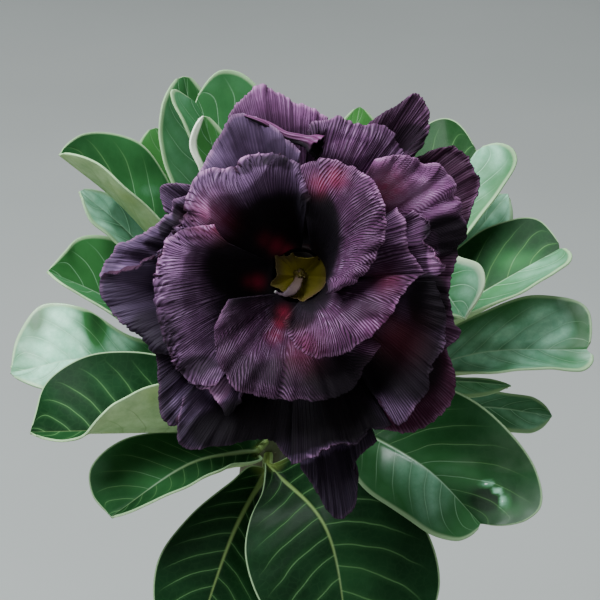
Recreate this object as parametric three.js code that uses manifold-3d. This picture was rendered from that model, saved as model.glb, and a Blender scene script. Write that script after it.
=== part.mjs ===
// A potted desert rose (adenium): a plain clay pot filled with gritty soil, a swollen stem that leans
// forward at its tip, a whorl of leathery leaves and one dark, many-petalled bloom.
// Millimetres, +Z up, front towards -Y. The origin is the centre of the pot's underside.
import * as THREE from "three";
import { mergeVertices } from "three/addons/utils/BufferGeometryUtils.js";
import Module from "manifold-3d";

const wasm = await Module();
wasm.setup();

// ---- driving dimensions -------------------------------------------------------------------------

const gap = 0.3; // clearance where two pieces meet

const pot = {
  height: 98,
  footRadius: 43,
  rimRadius: 62,
  wall: 5,
  floor: 7,
  collarHeight: 22, // the thicker band round the rim
  collarStep: 3,
  drainHoles: 5,
  drainRadius: 4,
  drainCircle: 24,
  sides: 32,
};

const soil = { level: 86, mound: 3, pebbles: 28, pebbleSize: 4, sides: 28 };

// Centre line of the swollen stem, from its foot in the soil to the growing tip.
const stem = {
  line: [
    [0, 0, 58],
    [0, 1, 78],
    [0, 3, 98],
    [-1, 8, 118],
    [-4, 13, 140],
    [-8, 11, 158],
    [-8.5, 6, 171],
    [-4, 2, 186],
    [3, -2, 201.5],
  ],
  radii: [14, 28, 28.5, 18.5, 10.5, 8, 6.8, 6, 4.6],
  lobes: 3,
  lobeDepth: 0.09,
  lobeHeight: 92,
  sides: 20,
  rings: 22,
  crownFrom: 0.74, // share of the line where the lowest leaf grows
  crownTo: 0.965, // and the highest
};

// The crown is measured in a frame of its own: x to the right, y up the bloom, z out along its axis.
const crown = { centre: [0, -48, 245], axisElevation: 25 };

const leafShape = {
  blade: 0.8, // thickness
  stalk: 2.4, // thickness and width of the stalk
  stalkRun: 4.5, // how far the stalk runs straight out of the stem
};

// height is the share of the crown's stretch of stem. rib holds the midrib's middle and tip, left and
// right the margins from the base to the tip as seen from the upper side, all in the crown frame.
// bow is how far each half of the blade bulges to the underside.
const leaves = [
  {
    name: "leafBottomLeft",
    height: 0.02,
    rib: [[-16.5, -63.5, -65.5], [-27, -93.5, -62]],
    left: [[-9.5, -57.5, -71.5], [-7, -69, -70], [-9, -82.5, -67], [-17, -92, -64]],
    right: [
      [-17.5, -51.5, -69.5], [-27.5, -59.5, -65.5], [-35.5, -70.5, -64], [-36.5, -82, -63],
      [-33, -91, -63],
    ],
    bow: [0, 0],
  },
  {
    name: "leafRightBehind",
    height: 0.05,
    rib: [[44, -33.5, -82.5], [65, -35.5, -80]],
    left: [[34, -28.5, -86], [52, -29.5, -86], [62.5, -31.5, -83.5]],
    right: [[38.5, -38, -80], [54, -39.5, -79], [61.5, -39.5, -78.5]],
    bow: [1, 1],
  },
  {
    name: "leafLowerLeft",
    height: 0.1,
    rib: [[-27, -46, -57], [-46, -58.5, -50]],
    left: [
      [-15, -46, -59.5], [-19, -47, -52.5], [-26.5, -50.5, -47.5], [-36.5, -54.5, -46],
      [-42.5, -57.5, -47.5],
    ],
    right: [
      [-19.5, -40, -66.5], [-30, -38.5, -63.5], [-44.5, -40.5, -61.5], [-52, -47, -60.5],
      [-51, -54, -55],
    ],
    bow: [4, 2],
  },
  {
    name: "leafBottom",
    height: 0.15,
    rib: [[6.5, -62, -54.5], [12.5, -94.5, -51]],
    left: [[11, -40, -57.5], [24, -52, -52], [32, -64, -50], [34, -76.5, -50.5], [27.5, -89.5, -53]],
    right: [
      [-9.5, -53.5, -64.5], [-12.5, -60, -58.5], [-13.5, -68.5, -54.5], [-9.5, -80, -51.5],
      [0, -90.5, -51],
    ],
    bow: [1, 1],
  },
  {
    name: "leafLeftGlossy",
    height: 0.2,
    rib: [[-51, -21, -75], [-73, -24, -68]],
    left: [[-26.5, -31.5, -70], [-43, -31.5, -66.5], [-55.5, -30, -66], [-65, -28, -67], [-71, -26, -68]],
    right: [
      [-28.5, -19, -78], [-44, -14.5, -77.5], [-56, -7.5, -77.5], [-66.5, -7, -78], [-72.5, -16, -74],
    ],
    bow: [1, 1],
  },
  {
    name: "leafRightLow",
    height: 0.3,
    rib: [[36, -27, -78.5], [54, -27.5, -76]],
    left: [[26, -25, -81.5], [38.5, -25.5, -81], [50, -26, -78]],
    right: [[25.5, -30.5, -76.5], [38.5, -31, -76], [50, -29.5, -76]],
    bow: [1, 1],
  },
  {
    name: "leafBackLeft",
    height: 0.35,
    rib: [[-28.5, 19, -80], [-37, 38.5, -76]],
    left: [[-35, 12.5, -79.5], [-40.5, 25.5, -79], [-42, 34, -77.5], [-39.5, 37.5, -77]],
    right: [[-19.5, 19, -79.5], [-27, 31.5, -78], [-33.5, 37.5, -76.5]],
    bow: [1, 1],
  },
  {
    name: "leafLeftFolded",
    height: 0.4,
    rib: [[-37, -37.5, -53.5], [-65, -37.5, -44]],
    left: [
      [-15, -29.5, -53.5], [-24, -26, -43.5], [-33.5, -25.5, -39], [-44, -30, -37.5],
      [-52.5, -38.5, -38.5], [-60, -39.5, -41.5],
    ],
    right: [
      [-15.5, -27.5, -63.5], [-26, -22, -60], [-39.5, -18.5, -58.5], [-53, -19.5, -56.5],
      [-62, -25.5, -53.5], [-64, -32.5, -47],
    ],
    bow: [6, 2],
  },
  {
    name: "leafRight",
    height: 0.45,
    rib: [[42.5, -19.5, -65], [71.5, -18, -62]],
    left: [[25.5, -20, -75], [45.5, -9, -71], [58.5, -4.5, -71], [71.5, -6.5, -69], [73.5, -13.5, -64]],
    right: [
      [25, -25, -60], [37, -23, -53.5], [49, -23.5, -52.5], [61.5, -22.5, -54.5], [72, -23, -59],
      [74, -21, -60],
    ],
    bow: [2, 5],
  },
  {
    name: "leafLeftSmall",
    height: 0.42,
    rib: [[-46.5, -6.5, -67], [-62.5, 1.5, -58]],
    left: [[-28, -21.5, -70], [-37.5, -15, -60], [-46, -9, -54.5], [-54, -4.5, -54], [-59, -1.5, -54]],
    right: [
      [-28, -3, -73.5], [-40.5, 6.5, -73], [-48.5, 10.5, -71.5], [-55, 10.5, -68.5], [-58.5, 7, -63.5],
    ],
    bow: [4, 2],
  },
  {
    name: "leafTopRightBehind",
    height: 0.5,
    rib: [[38.5, 4, -75.5], [53, 21.5, -74]],
    left: [[27, 1, -76.5], [36, 13.5, -77.5], [45, 21, -76.5]],
    right: [[40.5, -4.5, -73], [51, 7.5, -72.5], [54.5, 15.5, -72.5]],
    bow: [1, 1],
  },
  {
    name: "leafUnderUpperLeft",
    height: 0.6,
    rib: [[-43, 11, -68], [-55, 21.5, -62]],
    left: [[-30, -5.5, -63], [-42.5, 5.5, -61], [-48.5, 11, -59.5], [-52.5, 15, -59.5]],
    right: [[-33, 11.5, -72], [-42, 18.5, -71], [-49, 21.5, -68], [-53, 22.5, -64.5]],
    bow: [1, 1],
  },
  {
    name: "leafTop",
    height: 0.6,
    rib: [[11.5, 23.5, -68], [15, 43, -66]],
    left: [[5.5, 19.5, -69], [7.5, 33.5, -68.5], [11.5, 41, -66.5]],
    right: [[18, 19.5, -69.5], [21.5, 32.5, -69], [19, 40, -66.5]],
    bow: [1, 1],
  },
  {
    name: "leafTopLeftBehind",
    height: 0.62,
    rib: [[-24.5, 27.5, -75.5], [-29.5, 51, -70]],
    left: [[-19.5, 4, -69], [-32.5, 24, -65.5], [-35.5, 35, -65.5], [-34.5, 45, -67], [-32.5, 49.5, -69]],
    right: [[-15.5, 20, -76], [-20, 37.5, -73.5], [-24, 47, -71.5], [-27, 50.5, -70.5]],
    bow: [1, 2],
  },
  {
    name: "leafUpperRight",
    height: 0.68,
    rib: [[43.5, -5, -61.5], [64.5, 7, -60]],
    left: [[25, -4.5, -66.5], [36.5, 5, -68], [48, 13, -69], [59, 15, -67.5], [64, 10, -62]],
    right: [
      [25, -16, -60], [40, -9.5, -49.5], [51, -5, -48], [62.5, 1.5, -51.5], [68, 5, -55],
      [66.5, 7, -57],
    ],
    bow: [2, 5],
  },
  {
    name: "leafUpperLeft",
    height: 0.75,
    rib: [[-43, 17, -62], [-58.5, 30, -50]],
    left: [[-23.5, 3, -56.5], [-34.5, 15, -47.5], [-42, 21.5, -43], [-49.5, 27.5, -43], [-55, 30, -46]],
    right: [[-30.5, 18.5, -74], [-34.5, 27, -72], [-41, 34.5, -69], [-50, 36.5, -64], [-56.5, 34, -55]],
    bow: [4, 2],
  },
  {
    name: "leafLowerRight",
    height: 0.8,
    rib: [[30.5, -46.5, -48.5], [43.5, -59.5, -44]],
    left: [
      [24.5, -25, -55.5], [38.5, -28, -50], [48.5, -35, -48], [57.5, -47, -48], [58, -56, -45],
      [51, -60, -43],
    ],
    right: [
      [7.5, -36.5, -53.5], [14.5, -50, -46], [24, -57, -43.5], [32.5, -62.5, -42.5],
      [39, -63.5, -42.5], [42, -62, -43],
    ],
    bow: [1, 1],
  },
  {
    name: "leafTopRight",
    height: 0.85,
    rib: [[31.5, 13, -64], [44, 31.5, -62]],
    left: [[17.5, 9.5, -67.5], [25.5, 28.5, -69.5], [30.5, 37.5, -70], [36, 40.5, -70], [41, 38, -66]],
    right: [
      [25, -9.5, -60], [34.5, 2, -59], [42, 11.5, -58.5], [50, 22, -59.5], [54, 29.5, -60],
      [51, 34, -61], [46.5, 33, -62],
    ],
    bow: [2, 2],
  },
  {
    name: "leafTopLeft",
    height: 0.9,
    rib: [[-14.5, 22, -65.5], [-26, 43.5, -61]],
    left: [
      [-18.5, 12, -60], [-24.5, 29, -56.5], [-28, 36, -55.5], [-31.5, 43, -56], [-32, 47, -57],
      [-29, 45.5, -59],
    ],
    right: [
      [-2.5, 17, -67.5], [-3.5, 33.5, -67], [-9.5, 46.5, -66.5], [-15, 51.5, -65], [-21, 51.5, -63],
      [-24.5, 47.5, -62],
    ],
    bow: [1, 2],
  },
  {
    name: "leafRightYoung",
    height: 0.95,
    rib: [[31.5, -2, -47.5], [39, -10, -34]],
    left: [[30.5, 9, -50], [38, 5, -43], [43, 2.5, -37], [43.5, -3, -34]],
    right: [[24, -10, -44.5], [32, -9.5, -39], [36.5, -9.5, -35]],
    bow: [1, 1],
  },
  {
    name: "leafWhiteEdge",
    height: 0.98,
    rib: [[-18.5, 22.5, -51.5], [-23.5, 39, -47]],
    left: [[-20, 12.5, -50], [-24.5, 26, -45.5], [-26.5, 31, -44.5], [-26, 35.5, -44.5], [-24.5, 38, -46]],
    right: [[-13.5, 19, -52.5], [-17.5, 33.5, -49], [-21.5, 38.5, -47.5]],
    bow: [1, 1],
  },
];

// Centre line of the bloom's tube in the crown frame, from the throat back to its foot.
const tube = {
  line: [
    [0, 0, -24],
    [0, -0.5, -31],
    [0, -3.5, -39],
    [0.5, -8, -46],
  ],
  radii: [7.6, 7.7, 6.1, 3.6],
  cupRadius: 6,
  cupDepth: 8,
  rimDepth: 19.6,
};

// How a whorl's petals leave the tube: depth of their root, then how far the first stretch runs and
// climbs, and how far the last one leans back from the margin and stands above it.
const whorls = {
  steep: { depth: -21, run: 0.06, climb: 21, back: 0.5, crest: 3.5, hold: 38 },
  hollow: { depth: -21, run: 0.32, climb: 0, back: 0.22, crest: 5.5, hold: 40 },
  sloped: { depth: -21, run: 0.16, climb: 11, back: 0.4, crest: 3, hold: 38 },
  middle: { depth: -25, run: 0.34, climb: 0, back: 0.3, crest: 3, hold: 26 },
  outer: { depth: -30, run: 0.34, climb: 0, back: 0.32, crest: 2.5, hold: 24 },
};

// Margins of the petals in the crown frame, clockwise as seen from the front.
const petals = [
  {
    name: "innerTopLeft",
    whorl: "hollow",
    edge: [
      [-31, 5.5, -2], [-24.5, 13.5, 2], [-23.5, 20, 3], [-15, 22, 5], [-8.5, 26.5, 4], [-2, 25.5, 6],
      [2, 16.5, 4],
    ],
  },
  {
    name: "innerRight",
    whorl: "steep",
    edge: [
      [1.5, 24, 0], [7, 25.5, 3], [14.5, 21.5, 5], [18.5, 15, 6], [18, 7.5, 6], [14, 0.5, 6],
      [6, -5, 5],
    ],
  },
  {
    name: "innerLowerRight",
    whorl: "steep",
    edge: [
      [28.5, 0.5, -3], [23.5, -3, 2], [20, -8.5, 5], [15.5, -13.5, 6], [7, -18, 7], [-0.5, -16, 8],
      [-4, -10.5, 8],
    ],
  },
  {
    name: "innerLowerLeft",
    whorl: "sloped",
    edge: [
      [18, -15.5, 1], [14.5, -20, 1], [11, -25.5, 1], [-2, -27.5, 4], [-13.5, -25, 6],
      [-18.5, -17.5, 7], [-17.5, -6.5, 7],
    ],
  },
  {
    name: "innerLeft",
    whorl: "hollow",
    edge: [
      [-18.5, -24.5, 1], [-25.5, -23.5, 0], [-28, -19.5, 1], [-31.5, -5.5, 3], [-31.5, 0.5, 3],
      [-29.5, 5.5, 4], [-18.5, 8, 5],
    ],
  },
  {
    name: "middleTopLeft",
    whorl: "middle",
    edge: [
      [-24.5, 19, -4], [-20.5, 26.5, -5], [-17.5, 32, -6], [-15, 36, -8], [-10.5, 35.5, -6],
      [-5.5, 32.5, -2], [0, 27, -2],
    ],
  },
  {
    name: "middleTopRight",
    whorl: "middle",
    edge: [
      [2, 29.5, -1], [4, 34.5, -4], [8, 35.5, -4], [15.5, 33.5, -5], [20.5, 32.5, -6], [23, 28, -7],
      [22.5, 24, -7],
    ],
  },
  {
    name: "middleRight",
    whorl: "middle",
    edge: [
      [16.5, 25.5, -1], [23, 26.5, -3], [29.5, 24, -5], [34, 23, -6], [35.5, 18.5, -6],
      [37.5, 14.5, -7], [37.5, 8, -11], [33, 4.5, -13],
    ],
  },
  {
    name: "curlRightInner",
    whorl: "middle",
    edge: [[21.5, 15, -1], [23, 11.5, 0], [23.5, 7.5, 0], [24.5, 5, -1], [27.5, 0.5, -2]],
  },
  {
    name: "curlRightOuter",
    whorl: "middle",
    edge: [
      [25, 14, -4], [28.5, 12.5, -4], [29.5, 10.5, -3], [29, 7.5, -4], [30.5, 4, -4], [32.5, 1.5, -5],
      [30.5, -0.5, -5],
    ],
  },
  {
    name: "middleLowerRight",
    whorl: "middle",
    edge: [
      [30, -1.5, -4], [32.5, -9, -6], [32, -15.5, -7], [29, -22.5, -6], [29, -25, -6],
      [25.5, -29.5, -5], [22, -33.5, -5], [18, -29, -6],
    ],
  },
  {
    name: "middleBottom",
    whorl: "middle",
    edge: [
      [20.5, -33.5, -8], [17, -35.5, -8], [11, -38.5, -7], [7, -38.5, -5], [2, -41, -6],
      [-2, -42.5, -6],
    ],
  },
  {
    name: "middleLowerLeft",
    whorl: "middle",
    edge: [
      [-2, -42, -9], [-7, -37, -10], [-13.5, -37.5, -9], [-20, -38.5, -8], [-26, -39, -7],
      [-27.5, -36, -7], [-26, -27, -5],
    ],
  },
  {
    name: "tuckLowerLeft",
    whorl: "middle",
    edge: [
      [-12.5, -26.5, -2], [-13.5, -28, -3], [-16, -31, -3], [-18.5, -28, -2], [-21, -25.5, -2],
      [-25, -24, -2],
    ],
  },
  {
    name: "middleLeft",
    whorl: "middle",
    edge: [
      [-24.5, -19.5, -4], [-33, -17.5, -6], [-38, -13, -7], [-42, -9, -8], [-45, -3.5, -9],
      [-44, -0.5, -8], [-37, 3, -5], [-26.5, 10.5, -2],
    ],
  },
  {
    name: "outerTop",
    whorl: "outer",
    edge: [[-16.5, 36, -13], [-13.5, 40.5, -13], [-7, 42.5, -12], [-1, 39.5, -13], [6.5, 36, -14]],
  },
  {
    name: "outerTopRight",
    whorl: "outer",
    edge: [
      [15.5, 34.5, -8], [21.5, 38, -8], [26.5, 41, -9], [28.5, 38.5, -10], [29, 35, -11],
      [26, 27, -12],
    ],
  },
  {
    name: "outerRight",
    whorl: "outer",
    edge: [
      [26.5, 27, -14], [32, 29, -14], [37, 28, -15], [41, 23, -16], [40.5, 18.5, -16], [38, 11.5, -15],
    ],
  },
  {
    name: "outerRightLow",
    whorl: "outer",
    edge: [
      [36.5, 8, -13], [35, 2.5, -14], [34, -4, -14], [35, -10.5, -14], [36, -14, -13],
      [33, -16.5, -12],
    ],
  },
  {
    name: "outerLowerRight",
    whorl: "outer",
    edge: [
      [33, -16.5, -11], [35, -23, -12], [34.5, -28.5, -13], [31, -32.5, -13], [25, -35.5, -13],
      [19, -35, -12],
    ],
  },
  {
    name: "outerBottom",
    whorl: "outer",
    edge: [
      [17.5, -37.5, -12], [12.5, -42.5, -13], [13, -48.5, -14], [12, -53.5, -15], [9, -55.5, -15],
      [6, -53, -14], [3, -47.5, -13], [0, -43.5, -12],
    ],
  },
  {
    name: "outerLowerLeft",
    whorl: "outer",
    edge: [
      [-24.5, -27, -9], [-27.5, -33.5, -11], [-29.5, -34, -11], [-31.5, -31, -11], [-32, -24.5, -10],
      [-32.5, -17, -9],
    ],
  },
  {
    name: "outerLeft",
    whorl: "outer",
    edge: [
      [-45, -1, -12], [-45.5, 1.5, -13], [-42.5, 6, -13], [-35.5, 9.5, -13], [-30.5, 13.5, -12],
      [-29, 16.5, -12], [-25.5, 18, -10],
    ],
  },
  {
    name: "outerLeftTop",
    whorl: "outer",
    edge: [[-31, 14.5, -16], [-32, 20, -16], [-28.5, 21, -15], [-24.5, 20.5, -14]],
  },
];

const petalShape = { thickness: 0.7, rootRadius: 6.9, rows: 5 };

const throat = { points: 7, wall: 0.8, tall: 7.5, raggedness: 1.1, sides: 28 };
const anthers = { cone: 2.1, tall: 7, threads: 5, threadLength: 7, threadRadius: 0.45 };
const calyx = { sepals: 5, length: 10, width: 3.4, thickness: 0.9, clearance: 0.8 };

// ---- finishes -----------------------------------------------------------------------------------

function finish(color, roughness) {
  return new THREE.MeshStandardMaterial({ color, roughness, metalness: 0 });
}

const clay = finish(0xb4664a, 0.85);
const grit = finish(0x5a4a3c, 0.95);
const bark = finish(0x8a8570, 0.8);
const leafGreen = finish(0x1f5a2c, 0.35);
const darkPetal = finish(0x2c1426, 0.6);
const throatYellow = finish(0x8f8a2a, 0.6);
const paleMauve = finish(0xb49aa6, 0.6);
const sepalGreen = finish(0x5c7a3a, 0.6);

// ---- solids -------------------------------------------------------------------------------------

function toSolid(geometry) {
  const bare = new THREE.BufferGeometry().setAttribute("position", geometry.getAttribute("position"));
  bare.setIndex(geometry.index);
  const merged = mergeVertices(bare, 1e-4);
  const mesh = new wasm.Mesh({
    numProp: 3,
    vertProperties: new Float32Array(merged.attributes.position.array),
    triVerts: new Uint32Array(merged.index.array),
  });
  return new wasm.Manifold(mesh);
}

function toGeometry(solid) {
  const { vertProperties, triVerts, numProp, numVert } = solid.getMesh();
  const positions = new Float32Array(numVert * 3);
  for (let i = 0; i < numVert; i++) {
    positions.set(vertProperties.subarray(i * numProp, i * numProp + 3), i * 3);
  }
  const geometry = new THREE.BufferGeometry();
  geometry.setAttribute("position", new THREE.BufferAttribute(positions, 3));
  geometry.setIndex(new THREE.BufferAttribute(new Uint32Array(triVerts), 1));
  return geometry;
}

// A closed geometry from points and triangles, with its faces turned outwards.
function closedGeometry(points, triangles) {
  let volume = 0;
  for (const [a, b, c] of triangles) {
    volume += points[a].dot(new THREE.Vector3().crossVectors(points[b], points[c]));
  }
  const outward = volume > 0 ? triangles : triangles.map(([a, b, c]) => [a, c, b]);
  const geometry = new THREE.BufferGeometry().setFromPoints(points);
  geometry.setIndex(outward.flat());
  return geometry;
}

// A loft through rings of equal point count, closed at both ends.
function loft(rings) {
  const sides = rings[0].length;
  const points = rings.flat();
  const triangles = [];
  for (let i = 0; i + 1 < rings.length; i++) {
    for (let j = 0; j < sides; j++) {
      const a = i * sides + j;
      const b = i * sides + ((j + 1) % sides);
      triangles.push([a, b, b + sides], [a, b + sides, a + sides]);
    }
  }
  for (const [ring, first, flip] of [[rings[0], 0, true], [rings.at(-1), points.length - sides, false]]) {
    const middle = new THREE.Vector3();
    ring.forEach((p) => middle.addScaledVector(p, 1 / sides));
    const centre = points.push(middle) - 1;
    for (let j = 0; j < sides; j++) {
      const a = first + j;
      const b = first + ((j + 1) % sides);
      triangles.push(flip ? [centre, b, a] : [centre, a, b]);
    }
  }
  return closedGeometry(points, triangles);
}

// A thin closed blade round a grid of mid-surface points. thick(i, j) is its thickness at a point.
function blade(grid, thick) {
  const rows = grid.length;
  const columns = grid[0].length;
  const at = (i, j) => grid[Math.min(Math.max(i, 0), rows - 1)][Math.min(Math.max(j, 0), columns - 1)];
  const top = [];
  const under = [];
  for (let i = 0; i < rows; i++) {
    for (let j = 0; j < columns; j++) {
      const along = new THREE.Vector3().subVectors(at(i + 1, j), at(i - 1, j));
      const across = new THREE.Vector3().subVectors(at(i, j + 1), at(i, j - 1));
      const offset = across.cross(along).setLength(thick(i, j) / 2);
      top.push(grid[i][j].clone().add(offset));
      under.push(grid[i][j].clone().sub(offset));
    }
  }
  const lower = rows * columns;
  const triangles = [];
  for (let i = 0; i + 1 < rows; i++) {
    for (let j = 0; j + 1 < columns; j++) {
      const a = i * columns + j;
      const [b, c, d] = [a + 1, a + columns + 1, a + columns];
      triangles.push([a, b, c], [a, c, d]);
      triangles.push([lower + a, lower + c, lower + b], [lower + a, lower + d, lower + c]);
    }
  }
  const rim = [];
  for (let j = 0; j < columns; j++) rim.push(j);
  for (let i = 1; i < rows; i++) rim.push(i * columns + columns - 1);
  for (let j = columns - 2; j >= 0; j--) rim.push((rows - 1) * columns + j);
  for (let i = rows - 2; i > 0; i--) rim.push(i * columns);
  rim.forEach((a, k) => {
    const b = rim[(k + 1) % rim.length];
    triangles.push([a, lower + a, lower + b], [a, lower + b, b]);
  });
  return closedGeometry([...top, ...under], triangles);
}

function curveThrough(points) {
  return new THREE.CatmullRomCurve3(points.map((p) => new THREE.Vector3(...p)), false, "centripetal");
}

// A value at share t of a list of evenly spaced values.
function blend(values, t) {
  const place = Math.min(Math.max(t, 0), 1) * (values.length - 1);
  const i = Math.min(Math.floor(place), values.length - 2);
  return THREE.MathUtils.lerp(values[i], values[i + 1], place - i);
}

// Rings square to a centre line. radiusAt(t, angle, centre) is the radius.
function ringsAlong(curve, count, sides, radiusAt, from = 0, to = 1) {
  const rings = [];
  for (let i = 0; i <= count; i++) {
    const t = THREE.MathUtils.lerp(from, to, i / count);
    const centre = curve.getPoint(t);
    const tangent = curve.getTangent(t);
    const side = new THREE.Vector3(1, 0, 0).addScaledVector(tangent, -tangent.x).normalize();
    const front = new THREE.Vector3().crossVectors(tangent, side);
    const ring = [];
    for (let j = 0; j < sides; j++) {
      const angle = (2 * Math.PI * j) / sides;
      const r = radiusAt(t, angle, centre);
      ring.push(
        centre.clone().addScaledVector(side, r * Math.cos(angle)).addScaledVector(front, r * Math.sin(angle)),
      );
    }
    rings.push(ring);
  }
  return rings;
}

// Repeatable numbers from 0 to 1.
function dice(seed) {
  let state = seed;
  return () => {
    state = (state * 1664525 + 1013904223) % 4294967296;
    return state / 4294967296;
  };
}

function named(name, geometry, material) {
  geometry.computeVertexNormals();
  const mesh = new THREE.Mesh(geometry, material);
  mesh.name = name;
  return mesh;
}

// ---- pot and soil -------------------------------------------------------------------------------

// Outer radius of the pot's cone at height z, without the collar.
function potRadius(z) {
  const top = pot.rimRadius - pot.collarStep;
  return THREE.MathUtils.lerp(pot.footRadius, top, z / pot.height);
}

// A lathe turns about +Y, so its solid is stood up to turn about +Z.
function turned(profile, sides) {
  const points = profile.map(([r, z]) => new THREE.Vector2(r, z));
  return new THREE.LatheGeometry(points, sides).rotateX(Math.PI / 2);
}

function potGeometry() {
  const collar = pot.height - pot.collarHeight;
  const shell = toSolid(
    turned(
      [
        [0, 0],
        [pot.footRadius - 1.5, 0],
        [potRadius(1.5), 1.5],
        [potRadius(collar), collar],
        [pot.rimRadius - 1, collar + 2],
        [pot.rimRadius, pot.height - 2],
        [pot.rimRadius - 1.5, pot.height],
        [pot.rimRadius - pot.wall + 0.5, pot.height],
        [potRadius(pot.height - 4) - pot.wall, pot.height - 4],
        [potRadius(pot.floor) - pot.wall, pot.floor],
        [0, pot.floor],
      ],
      pot.sides,
    ),
  );
  let drained = shell;
  for (let i = 0; i < pot.drainHoles; i++) {
    const angle = (2 * Math.PI * i) / pot.drainHoles;
    const drill = new THREE.CylinderGeometry(pot.drainRadius, pot.drainRadius, 4 * pot.floor, 12);
    drill.rotateX(Math.PI / 2);
    drill.translate(pot.drainCircle * Math.cos(angle), pot.drainCircle * Math.sin(angle), 0);
    drained = drained.subtract(toSolid(drill));
  }
  return toGeometry(drained);
}

function pebbles() {
  const roll = dice(7);
  const stones = [];
  const outer = potRadius(soil.level) - pot.wall - soil.pebbleSize - 1;
  const inner = blend(stem.radii, 0.18) + soil.pebbleSize;
  for (let i = 0; i < soil.pebbles; i++) {
    const angle = i * 2.39996;
    const share = (i + 0.5) / soil.pebbles;
    const radius = Math.sqrt(inner * inner + share * (outer * outer - inner * inner));
    const size = soil.pebbleSize * (0.6 + 0.5 * roll());
    const stone = new THREE.IcosahedronGeometry(size, 0);
    stone.rotateX(roll() * 3).rotateY(roll() * 3);
    stone.scale(1, 1, 0.7);
    stone.translate(radius * Math.cos(angle), radius * Math.sin(angle), soil.level + 0.25 * size);
    stones.push(toSolid(stone));
  }
  return stones;
}

function soilGeometry() {
  const inside = (z) => potRadius(z) - pot.wall - gap;
  const floor = pot.floor + gap;
  const bed = toSolid(
    turned(
      [
        [0, floor],
        [inside(floor), floor],
        [inside(soil.level), soil.level],
        [34, soil.level + soil.mound * 0.5],
        [0, soil.level + soil.mound],
      ],
      soil.sides,
    ),
  );
  const stones = pebbles();
  const hole = toSolid(stemGeometry(gap));
  return toGeometry(wasm.Manifold.union([bed, ...stones]).subtract(hole));
}

// ---- stem ---------------------------------------------------------------------------------------

const stemCurve = curveThrough(stem.line);

function stemRadius(t, angle, centre) {
  const swell = Math.exp(-(((centre.z - stem.lobeHeight) / 20) ** 2));
  return blend(stem.radii, t) * (1 + stem.lobeDepth * swell * Math.cos(stem.lobes * angle + 0.6));
}

function stemGeometry(grow = 0) {
  const rings = ringsAlong(stemCurve, stem.rings, stem.sides, (t, angle, centre) => {
    return stemRadius(t, angle, centre) + grow;
  });
  return loft(rings);
}

// ---- crown frame --------------------------------------------------------------------------------

const crownGroup = new THREE.Group();
crownGroup.position.set(...crown.centre);
crownGroup.rotation.x = THREE.MathUtils.degToRad(90 - crown.axisElevation);
crownGroup.updateMatrixWorld(true);

function toCrown(worldPoint) {
  return crownGroup.worldToLocal(worldPoint.clone());
}

// ---- leaves -------------------------------------------------------------------------------------

const leafRows = [0.04, 0.17, 0.32, 0.47, 0.6, 0.71, 0.81, 0.9, 0.975];
const leafColumns = [-1, -0.5, 0, 0.5, 1];

// The stalk leaves the stem squarely, on the side that the leaf grows to.
function leafLines(leaf) {
  const t = THREE.MathUtils.lerp(stem.crownFrom, stem.crownTo, leaf.height);
  const centre = stemCurve.getPoint(t);
  const foot = toCrown(centre);
  const axis = toCrown(centre.clone().add(stemCurve.getTangent(t))).sub(foot).normalize();
  const outward = new THREE.Vector3(...leaf.rib[0]).sub(foot);
  outward.addScaledVector(axis, -outward.dot(axis)).normalize();
  const root = foot.clone().addScaledVector(outward, blend(stem.radii, t) + gap + 0.1);
  const knee = root.clone().addScaledVector(outward, leafShape.stalkRun);
  const side = new THREE.Vector3(...leaf.right[0]).sub(new THREE.Vector3(...leaf.left[0]));
  side.addScaledVector(outward, -side.dot(outward)).setLength(leafShape.stalk / 2);
  const tip = leaf.rib[1];
  const [left, right] = [leaf.left, leaf.right].map((points, k) => {
    const start = knee.clone().addScaledVector(side, 2 * k - 1);
    return curveThrough([start.toArray(), ...points, tip]);
  });
  return { root, knee, side, left, right, rib: curveThrough([knee.toArray(), ...leaf.rib]) };
}

// A row across the blade. Each half is an arc from the midrib to its margin. The midrib runs a little
// ahead, so that the last row ends the blade in a point or a notch.
function leafRow(leaf, lines, t) {
  const share = t / leafRows.at(-1);
  const middle = lines.rib.getPointAt(share);
  const along = lines.rib.getTangentAt(share);
  return leafColumns.map((x) => {
    const margin = (x < 0 ? lines.left : lines.right).getPointAt(t);
    const across = new THREE.Vector3().subVectors(margin, middle).multiplyScalar(x < 0 ? -1 : 1);
    const up = across.cross(along).normalize();
    const out = Math.abs(x);
    const bulge = 2 * out * (1 - out) * leaf.bow[x < 0 ? 0 : 1] * Math.sin(Math.PI * Math.sqrt(t));
    return middle.clone().lerp(margin, out).addScaledVector(up, -bulge);
  });
}

function leafGeometry(leaf) {
  const lines = leafLines(leaf);
  const foot = leafColumns.map((x) => lines.root.clone().addScaledVector(lines.side, x));
  const grid = [foot, ...leafRows.map((t) => leafRow(leaf, lines, t))];
  return blade(grid, (i) => [leafShape.stalk, leafShape.stalk, 1.4, 1][i] ?? leafShape.blade);
}

// ---- bloom --------------------------------------------------------------------------------------

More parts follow.
